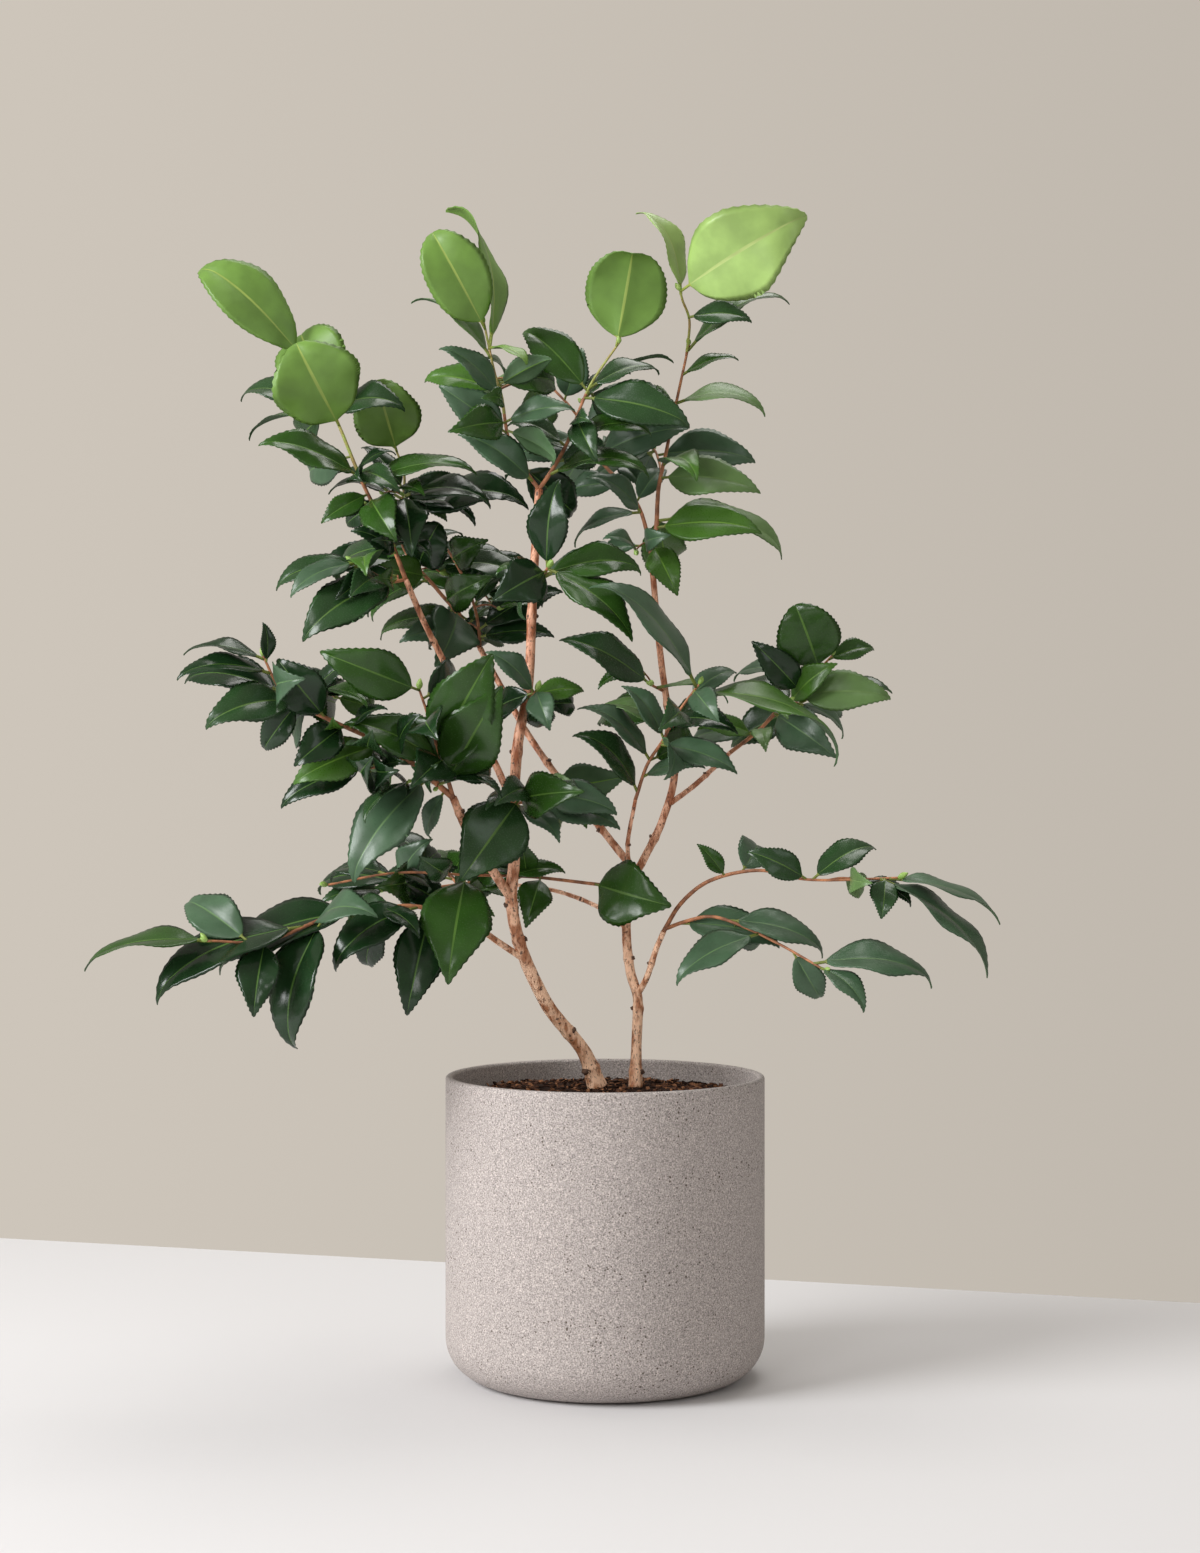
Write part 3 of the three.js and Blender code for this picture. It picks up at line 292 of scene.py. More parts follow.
        "leaves": [(0.96, -20, 27, 131, 0.55), (0.86, 165, 62, 84, 0.2), (0.4, -12, -6, 56, 0.36)],
    }]),
    "foliage_right_tuft": (27, [{
        "route": [(46, 47, 539), (41, 38, 541), (36, 26, 543)],
        "foot": 1.3, "tip": 0.9, "fill": 1, "rank": 40, "twigs": 0,
        "leaves": [(0.92, -170, 26, 88, 0.35)],
    }]),
    "foliage_right_inner": (28, [{
        "route": [(24, 12, 452), (33, 2, 479), (45, -6, 498), (57, -14, 520), (73, -24, 542)],
        "foot": 1.5, "tip": 0.9, "fill": 2, "rank": 80, "twigs": 1,
        "leaves": [(0.05, -165, 40, 78, 0.26), (0.16, -20, 8, 56, 0.24), (0.3, -170, 35, 78, 0.26),
                   (0.46, -15, -20, 70, 0.34), (0.52, -165, 50, 58), (0.88, 25, 25, 52),
                   (0.94, -60, -35, 48, 0.5), (0.97, -160, 42, 126, 0.2), (0.92, 3, -26, 144, 0.16)],
    }]),
    "foliage_right_mid": (29, [{
        "route": [(101, 72, 489), (122, 78, 505), (137, 84, 519), (160, 90, 541), (186, 92, 569)],
        "foot": 1.7, "tip": 0.9, "fill": 3, "rank": 150, "twigs": 1,
        "leaves": [(0.24, -155, 5, 56, 0.3), (0.32, -85, -30, 42), (0.62, -35, -50, 42),
                   (0.7, -6, -2, 86, 0.4), (0.74, -150, 40, 68, 0.4), (0.9, -132, 58, 64, 0.86),
                   (0.97, 15, 12, 46, 0.36)],
    }]),
    "foliage_right_low": (30, [{
        "route": [(46, 6, 348), (60, 0, 371), (83, -8, 389), (120, -20, 397), (160, -30, 390),
                  (226, -40, 392)],
        "foot": 1.9, "tip": 0.9, "fill": 1, "rank": 100, "twigs": 0,
        "leaves": [(0.46, -165, 48, 36, 0.4), (0.78, -168, 24, 56, 0.4), (0.8, 25, 22, 68, 0.28),
                   (0.97, -105, -58, 40, 0.56), (0.98, 2, -22, 98, 0.12), (0.96, -14, -42, 118, 0.14)],
    }, {
        "route": [(47, 6, 350), (64, -8, 357), (83, -18, 361), (104, -28, 355), (134, -42, 341),
                  (168, -58, 322)],
        "foot": 1.6, "tip": 0.9, "fill": 1, "rank": 80, "twigs": 0,
        "leaves": [(0.14, -10, -12, 86, 0.32), (0.52, 8, -32, 88, 0.18), (0.7, -165, -29, 82, 0.28),
                   (0.86, 45, -50, 54, 0.44), (0.95, 5, -11, 104, 0.22), (0.98, -45, -36, 58, 0.24)],
    }]),
}

# The tiers that the foliage is joined into, each one piece of twigs and one of leaves.
TIERS = {
    "low": ["foliage_low_left", "foliage_low_thin", "foliage_back_low"],
    "left": ["foliage_left"],
    "centre": [
        "foliage_left_trunk", "foliage_centre_low", "foliage_left_tuft", "foliage_centre", "foliage_upper_left_side",
    ],
    "upper_left": ["foliage_upper_left", "foliage_back_left", "foliage_back_centre"],
    "top": ["foliage_top_left", "foliage_top_middle", "foliage_upper_middle"],
    "crown": ["foliage_right_crown", "foliage_right_mid"],
    "right": ["foliage_right_tuft", "foliage_right_inner", "foliage_right_low"],
}


# ---------------------------------------------------------------- dice and curves

class Dice:
    """A Park-Miller dice: the same seed always gives the same plant."""

    SEED_STEP = 7919
    FACTOR = 16807
    MODULUS = 2147483647

    def __init__(self, seed):
        self.state = seed * self.SEED_STEP

    def next(self):
        """A number from 0 to 1."""
        self.state = (self.state * self.FACTOR) % self.MODULUS
        return self.state / self.MODULUS

    def above(self, least, more):
        """A number from least to least + more."""
        return least + self.next() * more

    def spread(self, reach):
        """A number from -reach to reach."""
        return (2 * self.next() - 1) * reach


def unit(vector):
    return vector / np.linalg.norm(vector)


def curve_point(route, share):
    """A point on the smooth curve through the route, with its ends mirrored."""
    last = len(route) - 1
    place = min(1.0, max(0.0, share)) * last
    i = min(last - 1, int(place))
    t = place - i
    start, end = route[i], route[i + 1]
    before = route[i - 1] if i > 0 else 2 * start - end
    after = route[i + 2] if i + 2 <= last else 2 * end - start
    leave, arrive = 0.5 * (end - before), 0.5 * (after - start)
    return (
        start + leave * t + (3 * (end - start) - 2 * leave - arrive) * t * t
        + (2 * (start - end) + leave + arrive) * t * t * t
    )


def direction_at(route, share):
    reach = 0.004
    return unit(curve_point(route, min(1, share + reach)) - curve_point(route, max(0, share - reach)))


def route_length(route):
    return float(np.linalg.norm(np.diff(route, axis=0), axis=1).sum())


def limb_radius(limb, share):
    """The radius at a share of the limb's length, with the flare at its foot."""
    flare = limb.get("flare", 0) * max(0, 1 - share / limb.get("flare_reach", 1)) ** 2
    return limb["foot"] + (limb["tip"] - limb["foot"]) * share + flare


def point_in_twig(twig, share):
    """A point on the twig as its solid has it, straight from step to step."""
    count = max(2, math.ceil(route_length(twig["route"]) / TWIG_STEP))
    piece = min(count - 1, int(share * count))
    start = curve_point(twig["route"], piece / count)
    return start + (curve_point(twig["route"], (piece + 1) / count) - start) * (share * count - piece)


def heading_vector(heading, rise):
    """The direction of a heading and a rise in radians."""
    return np.array([math.cos(heading) * math.cos(rise), math.sin(heading) * math.cos(rise), math.sin(rise)])


def turn_about(vector, axis, angle):
    """The vector turned about a unit axis by an angle in radians."""
    return (
        vector * math.cos(angle) + np.cross(axis, vector) * math.sin(angle)
        + axis * np.dot(axis, vector) * (1 - math.cos(angle))
    )


# ---------------------------------------------------------------- leaves

SPINE_STEPS = 24


def roll_to_front(heading, rise, cosine):
    """The roll in degrees that shows this share of the blade's width to the front."""
    lengthwise = math.sin(math.radians(heading)) * math.sin(math.radians(rise))
    crosswise = math.cos(math.radians(heading))
    middle = math.atan2(crosswise, lengthwise)
    off = math.acos(max(-1, min(1, cosine / math.hypot(lengthwise, crosswise))))
    return math.degrees(min(middle - off, middle + off, key=abs))


def leaf_spine(leaf):
    """The midrib: it leaves its foot above the chord and bends over towards the tip."""
    heading, rise, roll, arch = (math.radians(leaf[key]) for key in ("heading", "rise", "roll", "arch"))
    chord = heading_vector(heading, rise)
    side = turn_about(np.array([-math.sin(heading), math.cos(heading), 0.0]), chord, roll)
    face = np.cross(chord, side)
    start, power = LEAF["arch_start"], LEAF["arch_power"]
    bends = arch * (start - (np.arange(SPINE_STEPS + 1) / SPINE_STEPS) ** power)
    middles = arch * (start - ((np.arange(SPINE_STEPS) + 0.5) / SPINE_STEPS) ** power)
    steps = (np.cos(middles)[:, None] * chord + np.sin(middles)[:, None] * face) * leaf["length"] / SPINE_STEPS
    points = np.vstack([leaf["base"], leaf["base"] + np.cumsum(steps, axis=0)])
    faces = np.cos(bends)[:, None] * face - np.sin(bends)[:, None] * chord
    return {"points": points, "faces": faces, "side": side}


def blade_shape(share, is_round):
    """Half the blade's width at a share of its length, as a share of its widest."""
    share = np.clip(share, 0, 1)
    if is_round:
        return np.clip(np.sin(np.pi * share ** OUTLINE["round_rise"]), 0, 1) ** OUTLINE["roundness"]
    towards_tip = np.maximum(0, share - OUTLINE["tip_from"]) / (1 - OUTLINE["tip_from"])
    full = np.clip(np.sin(np.pi * share ** OUTLINE["rise"]), 0, 1) ** OUTLINE["fullness"]
    return full * (1 - OUTLINE["tip_cut"] * towards_tip)


def spine_at(spine, along):
    """Points of the midrib at shares of its length, each with its step and its place within that step."""
    place = np.clip(along, 0, 1) * SPINE_STEPS
    i = np.minimum(SPINE_STEPS - 1, place.astype(int))
    part = (place - i)[:, None]
    points = spine["points"][i] * (1 - part) + spine["points"][i + 1] * part
    return points, i, part


def leaf_points(leaf, along, across):
    """Points on the leaf: along is the share of its whole length, across runs from -1 to 1."""
    points = spine_at(leaf["spine"], along)[0]
    faces = leaf["spine"]["faces"][np.floor(along * SPINE_STEPS + 0.5).astype(int)]
    blade = (along - LEAF["petiole"]) / (1 - LEAF["petiole"])
    half = blade_shape(blade, leaf["is_round"]) * leaf["width"] * leaf["length"] / 2
    half = np.where(blade <= 0, 0, half)
    fold = math.radians(LEAF["fold"])
    points = points + (across * half * math.cos(fold))[:, None] * leaf["spine"]["side"]
    return points + (np.abs(across) * half * math.sin(fold))[:, None] * faces


# The points that stand for a leaf where room is looked for: two on its stalk and a net over its blade.
NET_ROWS = 16
NET_COLUMNS = 7
BLADE_SHARES = LEAF["petiole"] + (1 - LEAF["petiole"]) * np.arange(1, NET_ROWS + 1) / NET_ROWS
SAMPLE_ALONG = np.concatenate([[0.03, 0.06], np.repeat(BLADE_SHARES, NET_COLUMNS)])
SAMPLE_ACROSS = np.concatenate([[0, 0], np.tile(np.linspace(-1, 1, NET_COLUMNS), NET_ROWS)])
PAST_FOOT = SAMPLE_ALONG >= CLEAR["free_from"]


# ---------------------------------------------------------------- growth

class Growth:
    """Grows the shrub: key leaves first, then side twigs and the leaves that fill each shoot."""

    def __init__(self):
        self.leaves = []
        self.points = np.zeros((0, 3))
        self.radii = np.zeros(0)
        self.owners = []
        self.twigs = {}
        self.boxes = {}

    def note_limb(self, limb, owner):
        """Limbs are kept as points with a radius and an owner each."""
        count = math.ceil(route_length(limb["route"]) / NOTE_STEP)
        shares = [i / count for i in range(count + 1)]
        self.points = np.vstack([self.points, [curve_point(limb["route"], share) for share in shares]])
        self.radii = np.concatenate([self.radii, [limb_radius(limb, share) for share in shares]])
        self.owners += [owner] * len(shares)

    def is_free(self, leaf, clear=CLEAR):
        """Whether the leaf keeps its room from all limbs and leaves. At its foot it may touch its own twig."""
        middle = leaf["spine"]["points"][SPINE_STEPS // 2]
        reach = leaf["length"] / 2 + clear["other_mass"]
        away = np.linalg.norm(self.points - middle, axis=1)
        for i in np.nonzero(away <= reach + self.radii)[0]:
            samples = leaf["samples"][PAST_FOOT] if self.owners[i] is leaf["owner"] else leaf["samples"]
            gaps = np.linalg.norm(samples - self.points[i], axis=1)
            if gaps.min() < self.radii[i] + clear["limb"]:
                return False
        for other in self.leaves:
            if np.linalg.norm(other["spine"]["points"][SPINE_STEPS // 2] - middle) > reach + other["length"] / 2:
                continue
            needed = clear["own_mass"] if other["mass"] == leaf["mass"] else clear["other_mass"]
            gaps = np.linalg.norm(leaf["samples"][:, None] - other["samples"][None], axis=2)
            if other["owner"] is leaf["owner"]:
                gaps[np.ix_(~PAST_FOOT, ~PAST_FOOT)] = needed
            if gaps.min() < needed:
                return False
        return True

    def twig_is_free(self, twig, shoot, clearance=SIDE["clearance"]):
        """Whether the twig keeps clear of all leaves and of all limbs but the shoot it leaves."""
        own = np.array([owner is shoot for owner in self.owners])
        share = SIDE["look"]
        while share <= 1:
            here = curve_point(twig["route"], share)
            gaps = np.linalg.norm(self.points - here, axis=1) - self.radii
            if (gaps[~own] < twig["foot"] + CLEAR["limb"]).any():
                return False
            for leaf in self.leaves:
                if (np.linalg.norm(leaf["samples"] - here, axis=1) < clearance).any():
                    return False
            share += SIDE["look"]
        return True

    def grow_leaf(self, shoot, dice, place, heading, rise, length, breadth, clear=CLEAR):
        """Each try that isn't free turns the leaf a little more; a leaf with no room is left out."""
        base = point_in_twig(shoot, min(CLEAR["last_foot"], place))
        width = max(LEAF["width"], abs(breadth))
        young = place >= shoot.get("young_from", PAST_END)
        is_round = width > LEAF["round_from"] or (young and shoot.get("is_blunt", False))
        turn, steepest = CLEAR["turn"], CLEAR["steepest"]
        for attempt in range(CLEAR["tries"]):
            leaf = {
                "base": base, "length": length, "width": width, "is_round": is_round, "owner": shoot,
                "mass": shoot["mass"],
            }
            leaf["heading"] = heading + dice.spread(turn * attempt)
            leaf["rise"] = max(-steepest, min(steepest, rise + dice.spread(turn * attempt)))
            leaf["arch"] = LEAF["arch"] + dice.spread(LEAF["arch_vary"])
            roll = roll_to_front(leaf["heading"], leaf["rise"], breadth / width)
            leaf["roll"] = roll + dice.spread(CLEAR["roll"] * attempt)
            leaf["spine"] = leaf_spine(leaf)
            leaf["samples"] = leaf_points(leaf, SAMPLE_ALONG, SAMPLE_ACROSS)
            if self.in_reach(leaf) and self.is_free(leaf, clear):
                leaf["age"] = "mature" if not young else "fresh" if shoot.get("fresh") else "young"
                self.leaves.append(leaf)
                return leaf
        return None

    def in_reach(self, leaf):
        """Finer growth stays within the box of its mass; before the boxes are taken everything is in reach."""
        if leaf["mass"] not in self.boxes:
            return True
        low, high = self.boxes[leaf["mass"]]
        return bool((leaf["samples"] >= low).all() and (leaf["samples"] <= high).all())

    def grow_fill(self, shoot, dice, count, rank):
        """Fill leaves stand on old wood only: new growth carries the leaves that are given for it."""
        last = min(FILL["last"], shoot.get("young_from", 1) - FILL["young_gap"])
        for k in range(count):
            step = (last - FILL["first"]) * ((k + 0.5) / count)
            place = FILL["first"] + step + dice.spread(FILL["place_vary"])
            heading = rank + k * FILL["turn"] + dice.spread(FILL["splay"])
            rise = FILL["dip"] + dice.spread(FILL["tilt"])
            length = FILL["size"] * (1 + dice.spread(FILL["vary"]))
            breadth = FILL["breadth"] + dice.spread(FILL["breadth_vary"])
            self.grow_leaf(shoot, dice, place, heading, rise, length, breadth)

    def grow_side_twig(self, mass, shoot, dice, k, count):
        """The k-th of the shoot's side twigs with its leaves, on the side where there is room."""
        share = SIDE["first"] + (SIDE["last"] - SIDE["first"]) * ((k + 0.5) / count)
        start = point_in_twig(shoot, share + dice.spread(SIDE["place_vary"]))
        for _ in range(SIDE["tries"]):
            heading = (-90 if k % 2 else 90) + dice.spread(SIDE["splay"])
            rise = SIDE["rise"] + dice.spread(SIDE["rise_vary"])
            reach = SIDE["length"] * (1 + dice.spread(SIDE["length_vary"]))
            twig = {"foot": SIDE["foot"], "tip": SIDE["tip"], "mass": mass}
            twig["route"] = self.sagging_route(start, heading, rise, reach)
            if self.twig_is_free(twig, shoot):
                self.note_limb(twig, twig)
                self.twigs[mass].append(twig)
                self.grow_fill(twig, dice, SIDE["leaves"], heading + SIDE["leaf_turn"])
                length = FILL["size"] * (1 + dice.spread(FILL["vary"]))
                rise = SIDE["tip_dip"] + dice.spread(SIDE["tip_vary"])
                self.grow_leaf(twig, dice, 1, heading, rise, length, FILL["breadth"])
                return

    @staticmethod
    def sagging_route(start, heading, rise, reach):
        """The route of a side twig: it lifts a little over its chord, and its tip hangs."""
        ahead = heading_vector(math.radians(heading), math.radians(rise))
        return np.array([start + ahead * reach * part + UP * lift for part, lift in SIDE_SAG])

    def take_boxes(self):
        """The reach of each mass, as its own shoots and leaves have it."""
        for name, twigs in self.twigs.items():
            points = [twig["route"] for twig in twigs]
            points += [leaf["samples"] for leaf in self.leaves if leaf["mass"] == name]
            points = np.concatenate(points)
            self.boxes[name] = points.min(axis=0), points.max(axis=0)

    def grow_fine_twig(self, mass, dice, coarse):
        """A short twig on old wood with a pair of smaller leaves and one at its tip; with no room, one leaf."""
        shoot = coarse[int(dice.next() * len(coarse))]
        last = min(FINE["last"], shoot.get("young_from", 1) - FILL["young_gap"])
        place = FINE["first"] + (last - FINE["first"]) * dice.next()
        start = point_in_twig(shoot, place)
        for _ in range(FINE["tries"]):
            heading, rise = dice.spread(FINE["turn"]), dice.spread(FINE["rise"])
            size = FINE["size"] * (1 + dice.spread(FINE["size_vary"]))
            twig = {"foot": FINE["foot"], "tip": FINE["tip"], "mass": mass}
            reach = FINE["length"] * (1 + dice.spread(FINE["vary"]))
            twig["route"] = self.sagging_route(start, heading, rise, reach)
            if self.twig_is_free(twig, shoot, FINE["clearance"]):
                self.note_limb(twig, twig)
                count = len(self.leaves)
                for side, at in FINE_LEAVES:
                    breadth = FILL["breadth"] + dice.spread(FILL["breadth_vary"])
                    dip = FILL["dip"] + dice.spread(FILL["tilt"])
                    self.grow_leaf(twig, dice, at, heading + side, dip, size, breadth, FINE)
                if len(self.leaves) > count:
                    self.twigs[mass].append(twig)
                    return
            breadth = FILL["breadth"] + dice.spread(FILL["breadth_vary"])
            if self.grow_leaf(shoot, dice, place, heading, rise, size, breadth, FINE):
                return

    def run(self):
        """Every draw is made in this order, so the shrub is the same each time."""
        for name, limb in LIMBS.items():
            limb["route"] = np.array(limb["route"], float)
            self.note_limb(limb, name)
        dice = {}
        for name, (seed, shoots) in MASSES.items():
            dice[name] = Dice(seed)
            self.twigs[name] = list(shoots)
            for shoot in shoots:
                shoot["route"] = np.array(shoot["route"], float)
                shoot["mass"] = name
                self.note_limb(shoot, shoot)
        for name, (_, shoots) in MASSES.items():
            for shoot in shoots:
                for place, heading, rise, length, *breadth in shoot["leaves"]:
                    self.grow_leaf(
                        shoot, dice[name], place, heading, rise, length, breadth[0] if breadth else LEAF["breadth"],
                    )
        for name, (_, shoots) in MASSES.items():
            for shoot in shoots:
                for k in range(shoot["twigs"]):
                    self.grow_side_twig(name, shoot, dice[name], k, shoot["twigs"])
                self.grow_fill(shoot, dice[name], shoot["fill"], shoot["rank"])
        self.take_boxes()
        for name, count in FINE_TWIGS.items():
            coarse = [twig for twig in self.twigs[name] if not twig.get("fresh")]
            for _ in range(count):
                self.grow_fine_twig(name, dice[name], coarse)
        return self


@cache
def grown():
    """The grown shrub, worked out once. It also turns the routes in LIMBS and MASSES into arrays."""
    return Growth().run()


# ---------------------------------------------------------------- mesh tools

class Skin:
    """Collects points (in mm) and faces of one piece, each face with the index of its finish."""

    def __init__(self):
        self.points = []
        self.count = 0
        self.faces = []
        self.finishes = []

    def add(self, points, faces, finishes):
        self.points.append(np.asarray(points, float))
        self.faces += [tuple(self.count + i for i in face) for face in faces]
        self.finishes += finishes
        self.count += len(points)

    def tube(self, rings, finish_of):
        """Rings of equal count, joined and closed at both ends. finish_of(ring, side) gives a face's finish."""
        sides = len(rings[0])
        faces, finishes = [], []
        for r in range(len(rings) - 1):
            for s in range(sides):
                t = (s + 1) % sides
                faces.append((r * sides + s, r * sides + t, (r + 1) * sides + t, (r + 1) * sides + s))
                finishes.append(finish_of(r, s))
        last = (len(rings) - 1) * sides
        faces.append(tuple(range(sides))[::-1])
        faces.append(tuple(range(last, last + sides)))
        finishes += [finish_of(0, 0), finish_of(len(rings) - 2, 0)]
        self.add(np.concatenate(rings), faces, finishes)


def make_piece(name, skin, finishes, nodes, smooth=True):
    """A mesh object in metres that rides on the plant and stands for the named solids."""
    mesh = bpy.data.meshes.new(name)
    points = np.concatenate(skin.points) * MM
    mesh.from_pydata(points.tolist(), [], skin.faces)
    mesh.polygons.foreach_set("material_index", skin.finishes)
    mesh.polygons.foreach_set("use_smooth", [smooth] * len(mesh.polygons))
    for finish in finishes:
        mesh.materials.append(finish)
    mesh.validate()
    mesh.update()
    piece = bpy.data.objects.new(name, mesh)
    bpy.context.scene.collection.objects.link(piece)
    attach(piece, "root")
    if nodes:
        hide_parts(*nodes)


def limb_rings(limb, step, sides, relief):
    """Round rings along a limb or a twig, with relief(point, share) added to its radius."""
    route = limb["route"]
    count = max(3, math.ceil(route_length(route) / step))
    turns = 2 * np.pi * np.arange(sides) / sides
    start = direction_at(route, 0)
    across = np.cross([1, 0, 0], start)
    if np.linalg.norm(across) < 0.2:
        across = np.cross([0, 1, 0], start)
    rings = []
    for i in range(count + 1):
        share = i / count
        along = direction_at(route, share)
        centre = curve_point(route, share)
        across = unit(across - along * np.dot(across, along))
        beside = np.cross(along, across)
        outward = np.cos(turns)[:, None] * across + np.sin(turns)[:, None] * beside
        radius = limb_radius(limb, share)
        heights = np.array([relief(centre + way * radius, share) for way in outward])
        rings.append(centre + outward * (radius + heights)[:, None])
    return rings


def grain(point, scale, stretch=1.0):
    """Smooth noise at a point in mm, finer as scale grows."""
    return noise.noise(Vector((point[0] * scale, point[1] * scale, point[2] * scale * stretch)))


# ---------------------------------------------------------------- materials

def tint(colour, factors):
    """A colour times one factor, or times one for each channel."""
    return tuple(np.multiply(colour, factors))


def feed(tree, made, values):
    """Each named socket of a node gets its value, or a link where the value is another node's output."""
    for key, value in values.items():
        if isinstance(value, bpy.types.NodeSocket):
            tree.links.new(value, made.inputs[key])
        else:
            made.inputs[key].default_value = value


def new_material(name, values=None):
    """A material, its node tree and its shader, with these values on the shader."""
    material = bpy.data.materials.new(name)
    material.use_nodes = True
    shader = material.node_tree.nodes["Principled BSDF"]
    feed(material.node_tree, shader, values or {})
    return material, material.node_tree, shader


def make_group(name, inputs, outputs):
    """A shader node group with named sockets: {name: (type, default)}."""
    group = bpy.data.node_groups.new(name, "ShaderNodeTree")
    for socket, (kind, default) in inputs.items():
        made = group.interface.new_socket(socket, in_out="INPUT", socket_type=kind)
        made.default_value = default
    for socket, kind in outputs.items():
        group.interface.new_socket(socket, in_out="OUTPUT", socket_type=kind)
    return group, group.nodes.new("NodeGroupInput"), group.nodes.new("NodeGroupOutput")


def node(tree, kind, values=None, **settings):
    """A new node with its own settings, and values or links on its sockets."""
    made = tree.nodes.new(kind)
    for key, value in settings.items():
        setattr(made, key, value)
    feed(tree, made, values or {})
    return made


def place_on_piece(tree, stretch=None):
    """Each point's own place on the piece, in metres, stretched along the axes if need be."""
    place = node(tree, "ShaderNodeTexCoord").outputs["Object"]
    if stretch:
        place = node(tree, "ShaderNodeMapping", {"Vector": place, "Scale": stretch}).outputs["Vector"]
    return place


def noise_texture(tree, place, scale, detail):
    """Noise from 0 to 1, finer as scale grows."""
    values = {"Vector": place, "Scale": scale, "Detail": detail}
    return node(tree, "ShaderNodeTexNoise", values).outputs["Fac"]


def mix(tree, factor, first, second, blend_type="MIX"):
    """Two colours mixed by a factor."""
    values = {"Factor": factor, "A": first, "B": second}
    return node(tree, "ShaderNodeMix", values, data_type="RGBA", blend_type=blend_type).outputs["Result"]


def calculate(tree, operation, first, second):
    return node(tree, "ShaderNodeMath", {0: first, 1: second}, operation=operation).outputs[0]


def bump(tree, height, strength, distance):
    """The surface's direction with this height on it, at a distance in metres."""
    values = {"Height": height, "Strength": strength, "Distance": distance}
    return node(tree, "ShaderNodeBump", values).outputs["Normal"]


def ramp(tree, source, stops):
    """A colour ramp fed by source; stops are (place, grey or colour)."""
    made = node(tree, "ShaderNodeValToRGB", {"Fac": source})
    elements = made.color_ramp.elements
    while len(elements) < len(stops):
        elements.new(0.5)
    for element, (place, colour) in zip(elements, stops):
        element.position = place
        element.color = (*colour, 1) if isinstance(colour, tuple) else (colour, colour, colour, 1)
    return made.outputs["Color"]


def mottle_group():
    """Two colours mottled in soft patches, with a fine grain as height."""
    if "Mottle" in bpy.data.node_groups:
        return bpy.data.node_groups["Mottle"]
    group, start, end = make_group(
        "Mottle",
        {
            "Colour": ("NodeSocketColor", (0.5, 0.5, 0.5, 1)),
            "Patch Colour": ("NodeSocketColor", (0.4, 0.4, 0.4, 1)),
            "Patch Scale": ("NodeSocketFloat", 30.0),
            "Grain Scale": ("NodeSocketFloat", 400.0),
            "Roughness Low": ("NodeSocketFloat", 0.3),
            "Roughness High": ("NodeSocketFloat", 0.45),
        },
        {"Colour": "NodeSocketColor", "Roughness": "NodeSocketFloat", "Height": "NodeSocketFloat"},
    )
    place = place_on_piece(group)
    patches = noise_texture(group, place, start.outputs["Patch Scale"], 3)
    fine = noise_texture(group, place, start.outputs["Grain Scale"], 4)
    soft = ramp(group, patches, [(0.38, 0.0), (0.66, 1.0)])
    rough = node(group, "ShaderNodeMapRange", {
        "Value": fine, "From Min": 0.3, "From Max": 0.7,
        "To Min": start.outputs["Roughness Low"], "To Max": start.outputs["Roughness High"],
    })
    feed(group, end, {
        "Colour": mix(group, soft, start.outputs["Colour"], start.outputs["Patch Colour"]),
        "Roughness": rough.outputs["Result"],
        "Height": fine,
    })
    return group


def mottled(name, colour, patch, patch_scale, grain_scale, rough, strength, distance=0.0004, specular=0.5):
    """A material of two mottled colours with a fine-grained surface."""
    material, tree, shader = new_material(name, {"Specular IOR Level": specular})
    surface = node(tree, "ShaderNodeGroup", node_tree=mottle_group())
    feed(tree, surface, {
        "Colour": (*colour, 1), "Patch Colour": (*patch, 1), "Patch Scale": patch_scale, "Grain Scale": grain_scale,
        "Roughness Low": rough[0], "Roughness High": rough[1],
    })
    feed(tree, shader, {
        "Base Color": surface.outputs["Colour"],
        "Roughness": surface.outputs["Roughness"],
        "Normal": bump(tree, surface.outputs["Height"], strength, distance),
    })
    return material


def leaf_finish(name, colour, patch, rough, specular=0.38):
    return mottled(
        name, colour, patch, patch_scale=45, grain_scale=900, rough=rough, strength=0.12, distance=0.0002,
        specular=specular,
    )


def bark_finish(settings):
    """Smooth tan bark with pale pinkish patches, brown streaks and small dark specks, darker in its upper half."""
    material, tree, shader = new_material("bark")
    place = place_on_piece(tree)
    lengthwise = place_on_piece(tree, (1, 1, 0.4))
    streaks = noise_texture(tree, lengthwise, 820, 6)
    patches = ramp(tree, noise_texture(tree, lengthwise, 170, 5), [(0.4, 0.0), (0.56, 1.0)])
    specks = ramp(tree, noise_texture(tree, place, 330, 3), [(0.61, 0.0), (0.67, 0.9)])
    height = node(tree, "ShaderNodeSeparateXYZ", {"Vector": place}).outputs["Z"]
    upper = ramp(tree, height, [(0.3, 0.0), (0.46, 1.0)])
    patched = mix(tree, patches, (*settings.bark, 1), (*settings.bark_pale, 1))
    streaked = mix(tree, 1, patched, ramp(tree, streaks, [(0.33, (0.3, 0.22, 0.18)), (0.45, 1.0)]), "MULTIPLY")
    darkened = mix(tree, upper, streaked, (*settings.bark_upper, 1), "MULTIPLY")
    feed(tree, shader, {
        "Base Color": mix(tree, specks, darkened, (*settings.knot, 1)),
        "Roughness": ramp(tree, streaks, [(0.3, 0.7), (0.7, 0.36)]),
        "Normal": bump(tree, streaks, 0.5, 0.0006),
    })
    return material


